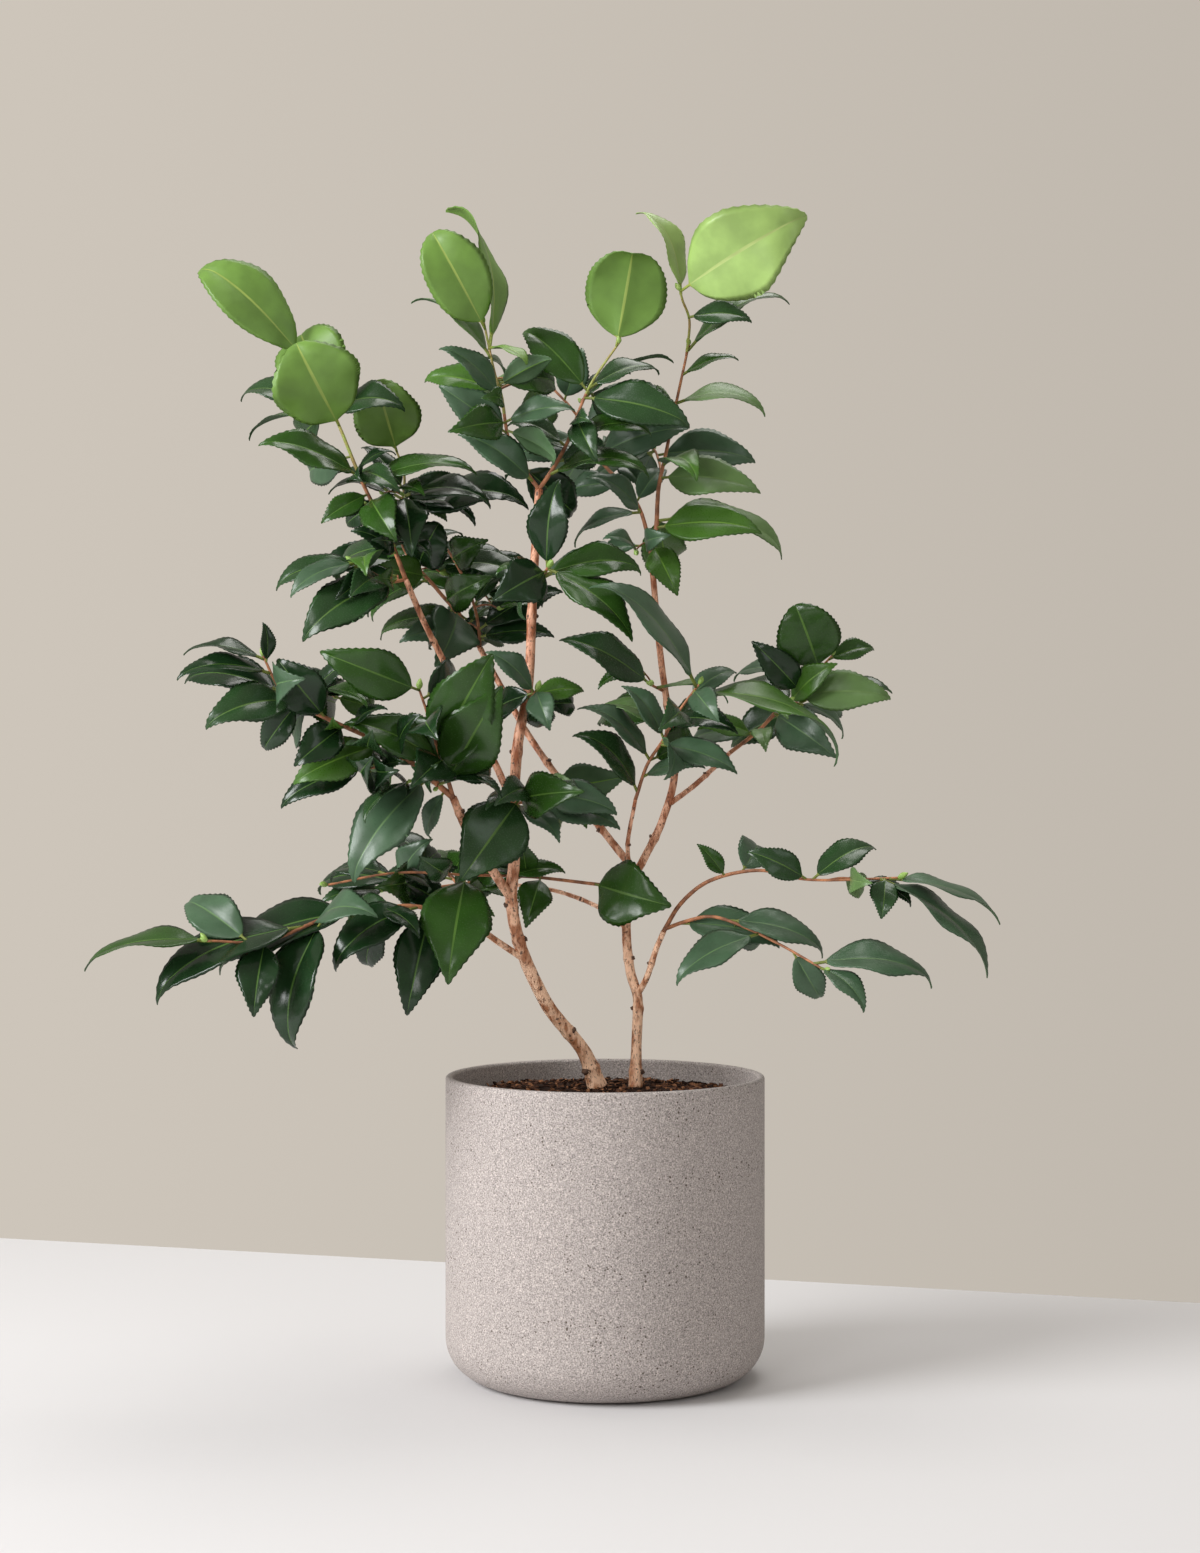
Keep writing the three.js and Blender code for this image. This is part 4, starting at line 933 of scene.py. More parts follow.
def concrete_finish(settings):
    """Fine-grained warm grey concrete: pale and dark grains, soft clouds and small dark pits in loose bands."""
    material, tree, shader = new_material("concrete")
    place = place_on_piece(tree)
    clouds = noise_texture(tree, place, 9, 4)
    grains = noise_texture(tree, place, 950, 3)
    bands = noise_texture(tree, place_on_piece(tree, (1, 1, 3)), 11, 3)
    cells = node(tree, "ShaderNodeTexVoronoi", {"Vector": place, "Scale": 330}).outputs
    sizes = calculate(tree, "MULTIPLY", ramp(tree, bands, [(0.42, 0.12), (0.64, 0.36)]), cells["Color"])
    pits = calculate(tree, "LESS_THAN", cells["Distance"], sizes)
    clouded = mix(tree, clouds, (*settings.concrete, 1), (*tint(settings.concrete, 0.88), 1))
    speckles = ramp(tree, grains, [(0.36, 0.55), (0.47, 0.93), (0.56, 1.06), (0.67, 1.6)])
    speckled = mix(tree, 1, clouded, speckles, "MULTIPLY")
    feed(tree, shader, {
        "Base Color": mix(tree, pits, speckled, (0.11, 0.085, 0.07, 1)),
        "Roughness": ramp(tree, clouds, [(0.3, 0.92), (0.7, 0.8)]),
        "Normal": bump(tree, calculate(tree, "SUBTRACT", grains, pits), 0.35, 0.0008),
    })
    return material


# ---------------------------------------------------------------- settings

def colour_setting(name, description, default):
    return FloatVectorProperty(
        name=name, description=description, default=default, subtype="COLOR", size=3, min=0, max=1,
    )


class CamelliaPlantSettings(bpy.types.PropertyGroup):
    leaf_thickness: FloatProperty(
        name="Leaf thickness", description="Thickness of a leaf's blade", default=0.00035, unit="LENGTH", precision=5,
    )
    tooth: FloatProperty(
        name="Leaf teeth", description="Depth of the teeth at a leaf's edge", default=0.0008, unit="LENGTH",
        precision=5, min=0,
    )
    bark: colour_setting("Bark", "Main colour of the bark", (0.47, 0.19, 0.085))
    bark_pale: colour_setting("Pale bark", "Colour of the bark's pale patches", (1.0, 0.64, 0.43))
    bark_upper: colour_setting("Upper bark", "Factor on the bark's colour in the upper half", (0.85, 0.68, 0.64))
    knot: colour_setting("Knots", "Colour of the knots and specks", (0.075, 0.04, 0.025))
    twig: colour_setting("Twigs", "Colour of the thin red-brown twigs", (0.22, 0.085, 0.04))
    shoot: colour_setting("New shoots", "Colour of the green shoots and leaf stalks", (0.30, 0.36, 0.07))
    leaf: colour_setting("Leaves", "Colour of a mature leaf from above", (0.010, 0.029, 0.009))
    leaf_under: colour_setting("Leaf undersides", "Colour of a mature leaf from below", (0.06, 0.115, 0.05))
    young: colour_setting("Young leaves", "Colour of a young leaf", (0.115, 0.215, 0.038))
    fresh: colour_setting("Fresh leaves", "Colour of the newest leaves", (0.24, 0.36, 0.10))


class CamelliaPotSettings(bpy.types.PropertyGroup):
    width: FloatProperty(name="Width", description="Width of the planter", default=0.25, unit="LENGTH")
    height: FloatProperty(name="Height", description="Height of the planter", default=POT_HEIGHT * MM, unit="LENGTH")
    wall: FloatProperty(name="Wall", description="Thickness of the planter's wall", default=0.006, unit="LENGTH")
    corner: FloatProperty(name="Foot", description="Radius of the rounded foot", default=0.033, unit="LENGTH")
    rim: FloatProperty(name="Rim", description="Radius of the rounded rim", default=0.0024, unit="LENGTH")
    chips: IntProperty(name="Chips", description="Number of bark chips on the soil", default=1500, min=0)
    concrete: colour_setting("Concrete", "Colour of the planter", (0.425, 0.378, 0.358))
    soil: colour_setting("Soil", "Colour of the compost", (0.022, 0.010, 0.006))


class CamelliaStageSettings(bpy.types.PropertyGroup):
    floor: colour_setting("Floor", "Colour of the floor", (0.68, 0.669, 0.675))
    backdrop: colour_setting("Backdrop", "Colour of the wall behind", (0.611, 0.558, 0.491))
    ambient: colour_setting("Ambient", "Colour of the soft light from all sides", (0.352, 0.326, 0.292))
    distance: FloatProperty(
        name="Camera distance", description="Camera's distance in front of the planter", default=2.15, unit="LENGTH",
    )
    eye: FloatProperty(name="Camera height", description="Camera's height over the floor", default=0.47, unit="LENGTH")


# ---------------------------------------------------------------- pot and soil

HUB = 2  # radius of the first ring about the axis
POT_FLOOR = 9
SOIL_RINGS = 34
# Every third piece on the soil is a fibre. Sizes are (least, more), and a chip's breadth is a share of its length.
FIBRE = {"length": (5, 7), "breadth": (0.35, 0.3)}
CHIP = {"length": (1.6, 3.4), "breadth": (0.45, 0.4), "depth": (0.7, 1.1)}
BLOCK_CORNERS = [(a, b, c) for a in (-1, 1) for b in (-1, 1) for c in (-1, 1)]
BLOCK_FACES = [(0, 1, 3, 2), (4, 6, 7, 5), (0, 4, 5, 1), (2, 3, 7, 6), (0, 2, 6, 4), (1, 5, 7, 3)]


def arc(centre_x, centre_z, radius, start, end, steps):
    turns = np.radians(np.linspace(start, end, steps + 1))
    return [(centre_x + math.cos(t) * radius, centre_z + math.sin(t) * radius) for t in turns]


def turned_skin(profile, steps, top=None):
    """A profile of (radius, height) turned about the upright axis, where top(x, y) stands in for a height of None."""
    skin = Skin()
    rings = []
    turns = 2 * np.pi * np.arange(steps) / steps
    for radius, height in profile:
        spots = [(math.cos(t) * radius, math.sin(t) * radius) for t in turns]
        rings.append(np.array([(x, y, top(x, y) if height is None else height) for x, y in spots]))
    skin.tube(rings, lambda ring, side: 0)
    return skin


class CAMELLIA_OT_pot(bpy.types.Operator):
    """Make the round concrete planter"""

    bl_idname = "camellia.pot"
    bl_label = "Planter"

    def execute(self, context):
        """Its profile runs from the middle of the underside up the outside, over the rim and down to the floor."""
        pot = context.scene.camellia_pot
        radius, height, wall, corner, rim = (
            value / MM for value in (pot.width / 2, pot.height, pot.wall, pot.corner, pot.rim)
        )
        inside = radius - wall
        profile = [(HUB, 0)]
        profile += [(HUB + (radius - corner - HUB) * i / 6, 0) for i in range(1, 6)]
        profile += arc(radius - corner, corner, corner, -90, 0, 18)
        profile += [(radius, corner + (height - rim - corner) * i / 24) for i in range(1, 24)]
        profile += arc(radius - rim, height - rim, rim, 0, 90, 6)
        profile += arc(inside + rim, height - rim, rim, 90, 180, 6)
        profile += [(inside, height - rim - 6 * i) for i in range(1, 6)]
        profile += arc(radius - corner, corner, corner - wall, 0, -65, 8)
        profile += [(radius - corner - 6, POT_FLOOR), (HUB, POT_FLOOR)]
        make_piece("planter", turned_skin(profile, 160), [concrete_finish(pot)], ["pot"])
        return {"FINISHED"}


def soil_height(x, y):
    """The compost is nearly level in the middle and falls a little to the wall."""
    reach = math.hypot(x, y)
    slope = 4.5 * max(0, (reach - 46) / 72) ** 1.3
    lumps = 1.6 * noise.noise(Vector((x * 0.05, y * 0.05, 1))) + 1.1 * noise.noise(Vector((x * 0.16, y * 0.16, 4)))
    return GROUND - slope + lumps - 0.6


def crumbly_height(x, y):
    """The compost's height with its crumbs."""
    return soil_height(x, y) + 0.9 * noise.noise(Vector((x * 0.6, y * 0.6, 9)))


class CAMELLIA_OT_soil(bpy.types.Operator):
    """Make the compost and the bark chips and fibres that lie on it"""

    bl_idname = "camellia.soil"
    bl_label = "Compost"

    def execute(self, context):
        pot = context.scene.camellia_pot
        inside = (pot.width / 2 - pot.wall) / MM - GAP
        profile = [(HUB, 12), (88, 12), (inside - 6, 20), (inside, 34), (inside, 120)]
        shares = [i / SOIL_RINGS for i in range(SOIL_RINGS + 1)]
        profile += [(inside * (1 - share) + 1.2 * share, None) for share in shares]
        soil = mottled(
            "compost", pot.soil, tint(pot.soil, 2.4), patch_scale=240, grain_scale=700, rough=(0.85, 1.0),
            strength=0.9, distance=0.0012, specular=0.2,
        )
        make_piece("compost", turned_skin(profile, 140, crumbly_height), [soil], ["soil"])
        self.lay_chips(pot, inside)
        return {"FINISHED"}

    def lay_chips(self, pot, inside):
        """Angular chips and thin fibres, each a small closed block of uneven corners."""
        dice = Dice(77)
        chips = Skin()
        for k in range(pot.chips):
            reach = (inside - 4) * math.sqrt(dice.next())
            turn = dice.next() * 2 * math.pi
            x, y = math.cos(turn) * reach, math.sin(turn) * reach
            if k % 3 == 0:
                length = dice.above(*FIBRE["length"])
                broad = deep = dice.above(*FIBRE["breadth"])
            else:
                length = dice.above(*CHIP["length"])
                broad = length * dice.above(*CHIP["breadth"])
                deep = dice.above(*CHIP["depth"])
            heading = dice.next() * math.pi
            tilt = dice.spread(0.45)
            ahead = heading_vector(heading, tilt)
            side = unit(np.cross(UP, ahead))
            lift = np.cross(ahead, side)
            centre = np.array([x, y, soil_height(x, y) + deep * 0.25 + 0.8])
            corners = [
                centre
                + ahead * length / 2 * a * (1 + dice.spread(0.25))
                + side * broad / 2 * b * (1 + dice.spread(0.3))
                + lift * deep / 2 * c * (1 + dice.spread(0.3))
                for a, b, c in BLOCK_CORNERS
            ]
            shade = int(3 * dice.next() ** 1.4)
            chips.add(corners, BLOCK_FACES, [shade] * len(BLOCK_FACES))
        finishes = [
            mottled(
                name, colour, patch, patch_scale=300, grain_scale=900, rough=(0.8, 1.0), strength=0.6, specular=0.15,
            )
            for name, colour, patch in (
                ("chip_dark", tint(pot.soil, 1.1), pot.soil),
                ("chip_brown", tint(pot.soil, 6), tint(pot.soil, 2.5)),
                ("chip_tan", (0.36, 0.165, 0.08), (0.15, 0.065, 0.035)),
            )
        ]
        make_piece("bark_chips", chips, finishes, [], smooth=False)


# ---------------------------------------------------------------- stems, boughs and twigs

# The relief of the bark. Swells are shares of the radius and the others are in mm: (height, scale, stretch).
BARK_SWELLS = (0.06, 0.09, 0.5)
BARK_RIDGES = (0.16, 0.5, 0.25)
BARK_ROUGHNESS = (0.1, 1.4, 0.5)
# A knot sits at a share of the limb's radius. Its height, its breadth and its length in it are shares of its size.
KNOT = {
    "seat": 0.9, "out": 0.9, "broad": 1.3, "along": 0.6, "uneven": 0.5, "grain": 0.9, "swelling": 0.28,
    "rows": 10, "sides": 12,
}


class CAMELLIA_OT_boughs(bpy.types.Operator):
    """Make the stems and boughs with the relief of their bark, and their knots"""

    bl_idname = "camellia.boughs"
    bl_label = "Stems and boughs"

    def execute(self, context):
        plant = context.scene.camellia_plant
        grown()
        bark = bark_finish(plant)
        knots = Skin()
        for name, limb in LIMBS.items():
            skin = Skin()
            is_stem = name.startswith("stem")
            rings = limb_rings(
                limb, step=2.2, sides=28 if is_stem else 20,
                relief=lambda point, share: self.relief(limb, point, share),
            )
            skin.tube(rings, lambda ring, side: 0)
            make_piece(name + "_bark", skin, [bark], [name])
            for place, size, turn in limb["knots"]:
                self.add_knot(knots, limb, place, size, math.radians(turn))
        finish = mottled(
            "knots", plant.knot, tint(plant.knot, 2.4), patch_scale=260, grain_scale=700, rough=(0.7, 0.95),
            strength=0.8,
        )
        make_piece("knots", knots, [finish], [])
        return {"FINISHED"}

    @staticmethod
    def relief(limb, point, share):
        """Long low ridges, a fine roughness, and a swelling at each knot."""
        radius = limb_radius(limb, share)
        height = radius * BARK_SWELLS[0] * grain(point, *BARK_SWELLS[1:])
        for rise, *pattern in (BARK_RIDGES, BARK_ROUGHNESS):
            height += rise * grain(point, *pattern)
        length = route_length(limb["route"])
        for place, size, _ in limb["knots"]:
            away = (share - place) * length / size
            height += size * KNOT["swelling"] * math.exp(-away * away * 0.7)
        return height

    @staticmethod
    def add_knot(skin, limb, place, size, turn):
        """A low dark lump on the side of a limb, as an old leaf or a lost twig leaves it."""
        along = direction_at(limb["route"], place)
        across = unit(np.cross(along, [0, 1, 0]))
        beside = np.cross(along, across)
        outward = math.cos(turn) * across - abs(math.sin(turn)) * beside
        if np.dot(outward, [0, -1, 0]) < 0 and abs(math.sin(turn)) > 0.2:
            outward = math.cos(turn) * across + abs(math.sin(turn)) * beside
        centre = curve_point(limb["route"], place) + outward * limb_radius(limb, place) * KNOT["seat"]
        side = np.cross(outward, along)
        rings = []
        for i in range(1, KNOT["rows"]):
            rise = math.pi * i / KNOT["rows"]
            ring = []
            for s in range(KNOT["sides"]):
                angle = 2 * math.pi * s / KNOT["sides"]
                spot = (
                    -outward * math.cos(rise) * size * KNOT["out"]
                    + (along * math.cos(angle) * KNOT["along"] + side * math.sin(angle))
                    * math.sin(rise) * size * KNOT["broad"]
                )
                ring.append(centre + spot * (1 + KNOT["uneven"] * grain(centre + spot, KNOT["grain"])))
            rings.append(np.array(ring))
        skin.tube(rings, lambda ring, s: 0)


class CAMELLIA_OT_twigs(bpy.types.Operator):
    """Make the twigs that carry the leaves, red-brown below and green on new growth"""

    bl_idname = "camellia.twigs"
    bl_label = "Twigs"

    def execute(self, context):
        plant = context.scene.camellia_plant
        shrub = grown()
        brown = mottled(
            "twig_bark", plant.twig, tint(plant.bark, 1.1), patch_scale=130, grain_scale=900, rough=(0.5, 0.7),
            strength=0.4,
        )
        green = mottled(
            "new_shoot", plant.shoot, (0.34, 0.22, 0.08), patch_scale=90, grain_scale=900, rough=(0.4, 0.55),
            strength=0.2,
        )
        for tier, masses in TIERS.items():
            skin = Skin()
            for mass in masses:
                for twig in shrub.twigs[mass]:
                    self.add_twig(skin, twig)
            make_piece("twigs_" + tier, skin, [brown, green], masses)
        return {"FINISHED"}

    @staticmethod
    def add_twig(skin, twig):
        """A twig is green from green_from on, and red-brown before."""
        green_from = twig.get("green_from", PAST_END)
        rings = limb_rings(
            twig, step=2.6, sides=10,
            relief=lambda point, share: 0.12 * grain(point, 0.35) + 0.05 * grain(point, 1.5),
        )
        skin.tube(rings, lambda ring, side: int(ring / len(rings) >= green_from))


# ---------------------------------------------------------------- leaves and buds

COLUMNS = np.array([-1, -0.82, -0.6, -0.36, -0.15, -0.035, 0.035, 0.15, 0.36, 0.6, 0.82, 1])
STALK_ROWS = 3
BLADE_ROWS = 34
RIB = 5  # the middle column of faces
FINISH = {"upper": 0, "under": 1, "rib": 2, "stalk": 3}
CYCLE = 6.28

# The relief of a leaf. Places are shares of the blade, widths are shares of half its width, heights are in mm, and
# the dome, its waves and the curl grow with the leaf.
BLADE = {
    "stalk": 0.75, "stalk_growth": 0.003, "neck": 0.12, "tip_width": 0.18,
    "teeth_from": 0.1, "teeth_to": 0.97, "tooth_most": 0.12, "tooth_lean": 0.5,
    "uneven": 0.05, "uneven_waves": 1.2, "wave": 0.07, "waves": 1.6, "curl": 0.5, "curl_from": 0.8, "twist": 16,
    "dome": 0.3, "flattening": 0.19, "dome_most": 16, "groove": 0.25, "groove_width": 0.06,
    "vein": 0.2, "veins": 8.5, "vein_slant": 1.5, "vein_grown": 8,
    "thickening": 0.6, "thickening_width": 0.3, "rib": 0.75, "rib_end": 0.15, "rib_width": 0.09,
}

BUD = {"radius": 0.27, "ridge": 0.12, "rows": 10, "sides": 12}

# The greens: the setting they start from, factors for the upper face, the underside and the rib, and the gloss.
SHADES = {
    "deep": ("leaf", (0.75, 0.85, 0.8), 0.85, (6, 4.6, 2.4), (0.15, 0.28)),
    "green": ("leaf", (2.1, 2.1, 0.9), 0.95, (8, 6, 2.6), (0.17, 0.3)),
    "mid": ("leaf", (1.8, 1.65, 1.6), 1, (8, 5.4, 3.2), (0.18, 0.32)),
    # grey and light are partly pale leaves and partly painted sheen: their paler, greyer greens stand in for the sheen
    # of light on glossy leaves.
    "grey": ("leaf", (4.6, 3.1, 5.2), 1.2, (10, 6.4, 8), (0.26, 0.4)),
    "bright": ("leaf", (4.2, 3.7, 1.4), 1.1, (12, 8.5, 3.2), (0.24, 0.38)),
    "light": ("leaf", (9, 5.6, 5.5), 1.4, (14, 8, 8), (0.32, 0.46)),
    "young": ("young", (1, 1, 1), 1.15, (2.5, 1.8, 2.2), (0.36, 0.48)),
    "fresh": ("fresh", (1, 1, 1), 1.1, (1.6, 1.35, 1.6), (0.3, 0.44)),
}
# The draw below which a mature leaf gets each green. On the open side of the crown, at its top, centre and right, more
# of them are grey and light: painted sheen, the bluish-grey reflection on glossy leaves there.
MATURE_SHARES = (("deep", 0.4), ("green", 0.62), ("mid", 0.82), ("grey", 0.94), ("bright", 1.01))
PAINTED_SHEEN_SHARES = (("deep", 0.07), ("green", 0.2), ("mid", 0.4), ("grey", 0.76), ("bright", 0.85), ("light", 1.01))
PAINTED_SHEEN_MASSES = {
    "foliage_top_left", "foliage_top_middle", "foliage_upper_middle", "foliage_right_crown", "foliage_right_tuft",
    "foliage_right_inner", "foliage_right_mid", "foliage_right_low", "foliage_centre", "foliage_centre_low",
}


def leaf_section(share, half, stalk, wave, swing, thickness):
    """Heights of the upper face and the underside over the midrib, across the leaf at a share of its blade."""
    size = np.abs(COLUMNS)
    flat = min(1.0, share / BLADE["neck"])
    dome = (BLADE["dome"] * size - BLADE["flattening"] * size ** 2) * min(half, BLADE["dome_most"])
    ripple = wave * half * size ** 2 * np.sin(CYCLE * BLADE["waves"] * share + swing)
    vein = np.cos(CYCLE * (share * BLADE["veins"] - size * BLADE["vein_slant"]))
    vein = BLADE["vein"] * vein * size * (1 - size) * 4 * min(1, half / BLADE["vein_grown"])
    groove = BLADE["groove"] * np.exp(-(size / BLADE["groove_width"]) ** 2)
    crown = (dome + ripple + vein - groove) * flat
    thick = thickness * (1 + BLADE["thickening"] * np.exp(-(size / BLADE["thickening_width"]) ** 2))
    rib = (BLADE["rib"] * (1 - share) + BLADE["rib_end"]) * np.exp(-(size / BLADE["rib_width"]) ** 2)
    round_stalk = stalk * np.sqrt(np.maximum(0, 1 - COLUMNS ** 2)) * (1 - flat)
    return crown + round_stalk, crown - thick - rib * flat - round_stalk


def leaf_rings(leaf, dice, thickness, tooth):
    """Cross rings of a leaf: its upper face from left to right, then its underside back."""
    length = leaf["length"]
    blade = np.concatenate([np.zeros(STALK_ROWS), np.linspace(0.012, 0.994, BLADE_ROWS)])
    along = np.concatenate([
        np.linspace(0, LEAF["petiole"] * 0.96, STALK_ROWS),
        LEAF["petiole"] + (1 - LEAF["petiole"]) * blade[STALK_ROWS:],
    ])
    spine = leaf["spine"]
    points, i, part = spine_at(spine, along)
    faces = spine["faces"][i] * (1 - part) + spine["faces"][i + 1] * part
    ahead = np.cross(spine["side"], faces)
    half = blade_shape(blade, leaf["is_round"]) * leaf["width"] * length / 2
    toothed = (blade > BLADE["teeth_from"]) & (blade < BLADE["teeth_to"])
    teeth = np.where(toothed, 1, 0) * (np.arange(len(blade)) % 2 * 2 - 1) * tooth / 2
    teeth = np.clip(teeth, -BLADE["tooth_most"] * half, BLADE["tooth_most"] * half)
    stalk = BLADE["stalk"] + length * BLADE["stalk_growth"]
    half = np.maximum(half, np.where(blade < 0.5, stalk, BLADE["tip_width"]))
    phase = dice.next() * CYCLE, dice.next() * CYCLE
    wave = BLADE["wave"] * (1 + dice.next())
    curl = (BLADE["curl"] + dice.next()) * length * np.maximum(0, blade - BLADE["curl_from"]) ** 2
    points = points - curl[:, None] * faces
    twist = np.radians(dice.spread(BLADE["twist"])) * blade
    sides = np.cos(twist)[:, None] * spine["side"] + np.sin(twist)[:, None] * faces
    faces = np.cos(twist)[:, None] * faces - np.sin(twist)[:, None] * spine["side"]
    size = np.abs(COLUMNS)
    swing = np.where(COLUMNS < 0, phase[0], phase[1])
    rings = []
    for row, share in enumerate(blade):
        uneven = np.sin(CYCLE * BLADE["uneven_waves"] * share + 2 * swing) * np.sin(np.pi * share)
        edge = COLUMNS * (half[row] * (1 + BLADE["uneven"] * uneven) + teeth[row] * size ** 5)
        over, below = leaf_section(share, half[row], stalk, wave, swing, thickness)
        top = points[row] + edge[:, None] * sides[row] + over[:, None] * faces[row]
        under = points[row] + edge[:, None] * sides[row] + below[:, None] * faces[row]
        if teeth[row] > 0:
            top = top + (BLADE["tooth_lean"] * size ** 6)[:, None] * ahead[row]
        rings.append(np.concatenate([top, under[-2:0:-1]]))
    return rings


def leaf_face_kind(ring, side):
    """Which finish a face of the leaf has: stalk, rib, upper face or underside."""
    count = len(COLUMNS) - 1
    if ring < STALK_ROWS:
        return "stalk"
    if side < count:
        return "rib" if side == RIB else "upper"
    return "rib" if side - count == RIB else "under"


class CAMELLIA_OT_leaves(bpy.types.Operator):
    """Make the leaves: toothed, pointed and glossy, with a raised rib below, dealt out in several greens"""

    bl_idname = "camellia.leaves"
    bl_label = "Leaves"

    def execute(self, context):
        plant = context.scene.camellia_plant
        shrub = grown()
        finishes = self.finishes(plant)
        for tier, masses in TIERS.items():
            skin = Skin()
            for number, leaf in enumerate(shrub.leaves):
                if leaf["mass"] in masses:
                    self.add_leaf(skin, leaf, Dice(number + 1), plant)
            make_piece("leaves_" + tier, skin, finishes, masses)
        return {"FINISHED"}

    @staticmethod
    def finishes(plant):
        """Four finishes (upper, under, rib, stalk) for each green in SHADES."""
        made = []
        for shade, (base, top, below, rib, rough) in SHADES.items():
            own = getattr(plant, base)
            upper = tint(own, top)
            under = tint(plant.leaf_under if base == "leaf" else own, below)
            ribbed = tint(own, rib)
            stalk = tint(plant.shoot, 0.6 if base == "leaf" else 1)
            made.append(leaf_finish("leaf_" + shade, upper, tint(upper, 1.3), rough))
            made.append(leaf_finish("underside_" + shade, under, tint(under, 0.8), (0.46, 0.6), 0.3))
            made.append(leaf_finish("rib_" + shade, ribbed, tint(ribbed, 0.85), (0.4, 0.5)))
            made.append(leaf_finish("stalk_" + shade, stalk, tint(stalk, 0.8), (0.4, 0.55)))
        return made

    @staticmethod
    def add_leaf(skin, leaf, dice, plant):
        """The leaf's green comes from its age, or on a mature leaf from its draw."""
        for _ in range(3):
            dice.next()  # the first draws of neighbouring seeds are too much alike
        draw = dice.next()
        # On the open side of the crown the draw gives more grey and light greens, a painted sheen.
        shares = PAINTED_SHEEN_SHARES if leaf["mass"] in PAINTED_SHEEN_MASSES else MATURE_SHARES
        shade = next(name for name, most in shares if draw < most)
        if leaf["age"] != "mature":
            shade = leaf["age"]
        first = list(SHADES).index(shade) * len(FINISH)
        rings = leaf_rings(leaf, dice, plant.leaf_thickness / MM, plant.tooth / MM)
        skin.tube(rings, lambda ring, side: first + FINISH[leaf_face_kind(ring, side)])


class CAMELLIA_OT_buds(bpy.types.Operator):
    """Make the pointed green buds at the tips of the shoots"""

    bl_idname = "camellia.buds"
    bl_label = "Buds"

    def execute(self, context):
        shrub = grown()
        skin = Skin()
        dice = Dice(501)
        for twigs in shrub.twigs.values():
            for twig in twigs:
                tip = curve_point(twig["route"], 1)
                ahead = direction_at(twig["route"], 1)
                for _ in range(2 if "leaves" in twig else 1):
                    lean = unit(ahead + np.array([dice.spread(0.7), dice.spread(0.7), dice.next() * 0.7]))
                    self.add_bud(skin, tip - lean * 0.5, lean, dice.above(5, 4))
        finish = mottled(
            "buds", (0.22, 0.38, 0.07), (0.33, 0.45, 0.12), patch_scale=220, grain_scale=900, rough=(0.4, 0.55),
            strength=0.3,
        )
        make_piece("buds", skin, [finish], [])
        return {"FINISHED"}

    @staticmethod
    def add_bud(skin, foot, ahead, length):
        """A plump pointed bud with three low ridges, where its scales overlap."""
        side = unit(np.cross(ahead, [0.3, 0.2, 0.9]))
        beside = np.cross(ahead, side)
        rings = []
        for i in range(BUD["rows"]):
            share = i / (BUD["rows"] - 1)
            bulge = max(0.06, math.sin(math.pi * (0.12 + 0.86 * share)) ** 0.8)
            ring = []
            for s in range(BUD["sides"]):
                turn = 2 * math.pi * s / BUD["sides"]
                scale = length * BUD["radius"] * bulge * (1 + BUD["ridge"] * math.cos(3 * turn + 5 * share))
                ring.append(foot + ahead * length * share + (side * math.cos(turn) + beside * math.sin(turn)) * scale)
            rings.append(np.array(ring))
        skin.tube(rings, lambda ring, s: 0)


# ---------------------------------------------------------------- stage

# The camera's focal length and the picture's height in pixels, its sensor in mm, and its place sideways in metres.
FOCAL = 2740
PICTURE_HEIGHT = 1553
SENSOR = 36
CAMERA_X = -0.004

FLOOR_CORNERS = [(-3.2, -3, 0), (3.2, -3, 0), (3.2, -0.505, 0), (-3.2, 1.416, 0)]
# Each light: its place, its target, its size, its power and its colour.
LIGHTS = {
    "key": ((-2.9, -1.5, 1.95), (0, 0, 0.45), 2.0, 158, (0.98, 0.99, 1)),
    "front": ((-1.2, -2.7, 1.2), (0, 0, 0.4), 1.0, 13, (1, 0.99, 0.98)),
    "fill": ((1.9, -1.9, 1.6), (0, 0, 0.5), 1.4, 7, (0.92, 0.97, 1)),
    "top": ((0.2, 0.6, 2.5), (0, 0, 0.6), 1.4, 24, (1, 0.98, 0.95)),
}


def add_light(name, place, target, size, power, colour):
    """A soft round lamp that points at its target."""
    data = bpy.data.lights.new(name, "AREA")
    data.shape = "DISK"
    data.size = size
    data.energy = power
    data.color = colour
    lamp = bpy.data.objects.new(name, data)
    lamp.location = place
    lamp.rotation_euler = (Vector(target) - Vector(place)).to_track_quat("-Z", "Y").to_euler()
    bpy.context.scene.collection.objects.link(lamp)


def studio_world(stage):
    """A wall colour with a painted shade that darkens it a little to the right, and a dimmer soft light from all sides.
    """
    world = bpy.data.worlds.new("studio")
    world.use_nodes = True
    tree = world.node_tree
    ahead = node(tree, "ShaderNodeTexCoord").outputs["Generated"]
    side = node(tree, "ShaderNodeSeparateXYZ", {"Vector": ahead}).outputs["X"]
    share = node(tree, "ShaderNodeMapRange", {"Value": side, "From Min": -0.2, "From Max": 0.2}).outputs["Result"]
    # painted shade: towards the right the wall that the camera sees darkens to 0.87 of its colour
    wall = mix(tree, share, (*stage.backdrop, 1), (*tint(stage.backdrop, 0.87), 1))
    is_seen = node(tree, "ShaderNodeLightPath").outputs["Is Camera Ray"]
    feed(tree, tree.nodes["Background"], {"Color": mix(tree, is_seen, (*stage.ambient, 1), wall)})
    return world


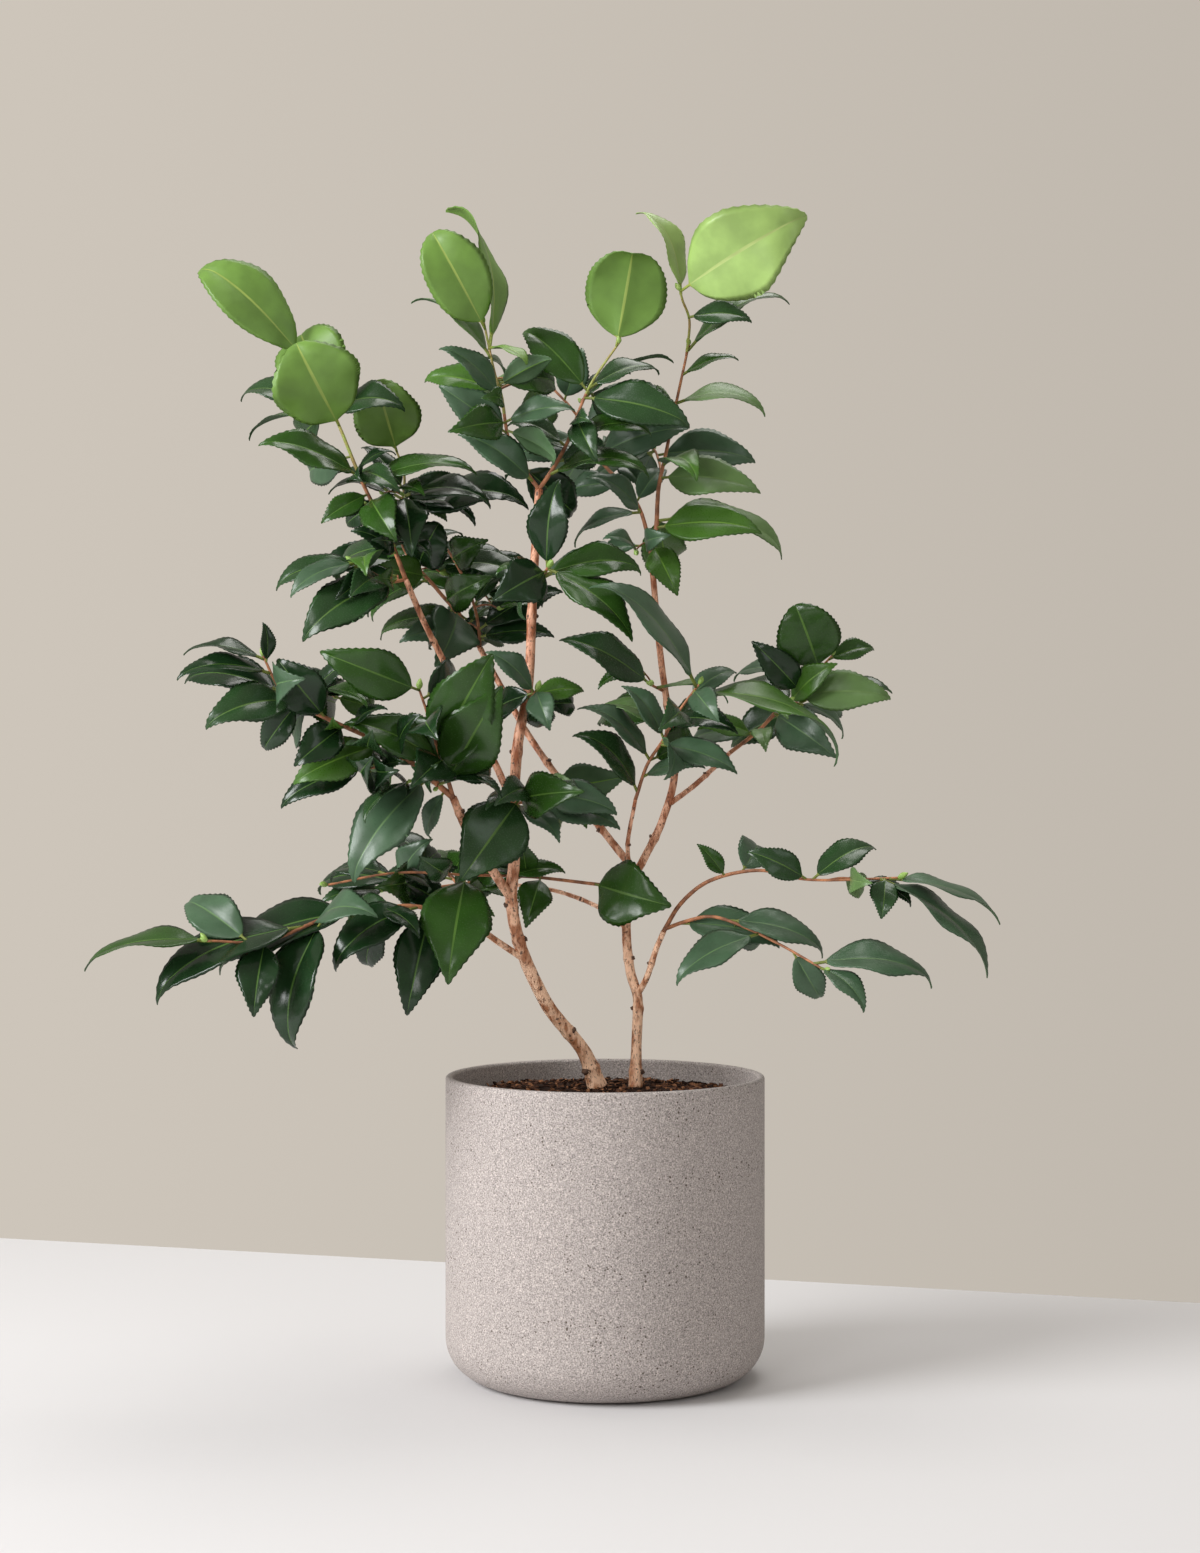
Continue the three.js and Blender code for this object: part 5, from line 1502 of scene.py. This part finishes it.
class CAMELLIA_OT_stage(bpy.types.Operator):
    """Make the camera, the pale floor and the soft studio light"""

    bl_idname = "camellia.stage"
    bl_label = "Stage"

    def execute(self, context):
        stage = context.scene.camellia_stage
        data = bpy.data.cameras.new("camera")
        data.sensor_width = SENSOR
        data.lens = SENSOR * FOCAL / PICTURE_HEIGHT
        camera = bpy.data.objects.new("camera", data)
        camera.location = (CAMERA_X, -stage.distance, stage.eye)
        camera.rotation_euler = (math.radians(90), 0, 0)
        context.scene.collection.objects.link(camera)
        context.scene.camera = camera

        mesh = bpy.data.meshes.new("floor")
        mesh.from_pydata(FLOOR_CORNERS, [], [(0, 1, 2, 3)])
        mesh.materials.append(new_material("floor", {"Base Color": (*stage.floor, 1), "Roughness": 0.7})[0])
        floor = bpy.data.objects.new("floor", mesh)
        context.scene.collection.objects.link(floor)

        context.scene.world = studio_world(stage)
        for name, light in LIGHTS.items():
            add_light(name, *light)
        context.scene.view_settings.view_transform = "Standard"
        return {"FINISHED"}


class CAMELLIA_PT_panel(bpy.types.Panel):
    """Settings and makers of the potted camellia"""

    bl_idname = "CAMELLIA_PT_panel"
    bl_label = "Potted camellia"
    bl_space_type = "VIEW_3D"
    bl_region_type = "UI"
    bl_category = "Camellia"

    def draw(self, context):
        for settings in (context.scene.camellia_plant, context.scene.camellia_pot, context.scene.camellia_stage):
            box = self.layout.box()
            for key in settings.__annotations__:
                box.prop(settings, key)
        for operator in OPERATORS:
            self.layout.operator(operator.bl_idname)


SETTINGS = {
    "camellia_plant": CamelliaPlantSettings,
    "camellia_pot": CamelliaPotSettings,
    "camellia_stage": CamelliaStageSettings,
}
OPERATORS = (
    CAMELLIA_OT_stage, CAMELLIA_OT_pot, CAMELLIA_OT_soil, CAMELLIA_OT_boughs, CAMELLIA_OT_twigs,
    CAMELLIA_OT_leaves, CAMELLIA_OT_buds,
)


def register():
    for made in (*SETTINGS.values(), *OPERATORS, CAMELLIA_PT_panel):
        bpy.utils.register_class(made)
    for key, group in SETTINGS.items():
        setattr(bpy.types.Scene, key, PointerProperty(type=group))


def unregister():
    for key in SETTINGS:
        delattr(bpy.types.Scene, key)
    for made in (CAMELLIA_PT_panel, *reversed(OPERATORS), *SETTINGS.values()):
        bpy.utils.unregister_class(made)


def main():
    register()
    bpy.ops.camellia.stage()
    bpy.ops.camellia.pot()
    bpy.ops.camellia.soil()
    bpy.ops.camellia.boughs()
    bpy.ops.camellia.twigs()
    bpy.ops.camellia.leaves()
    bpy.ops.camellia.buds()


if __name__ == "__main__":
    main()
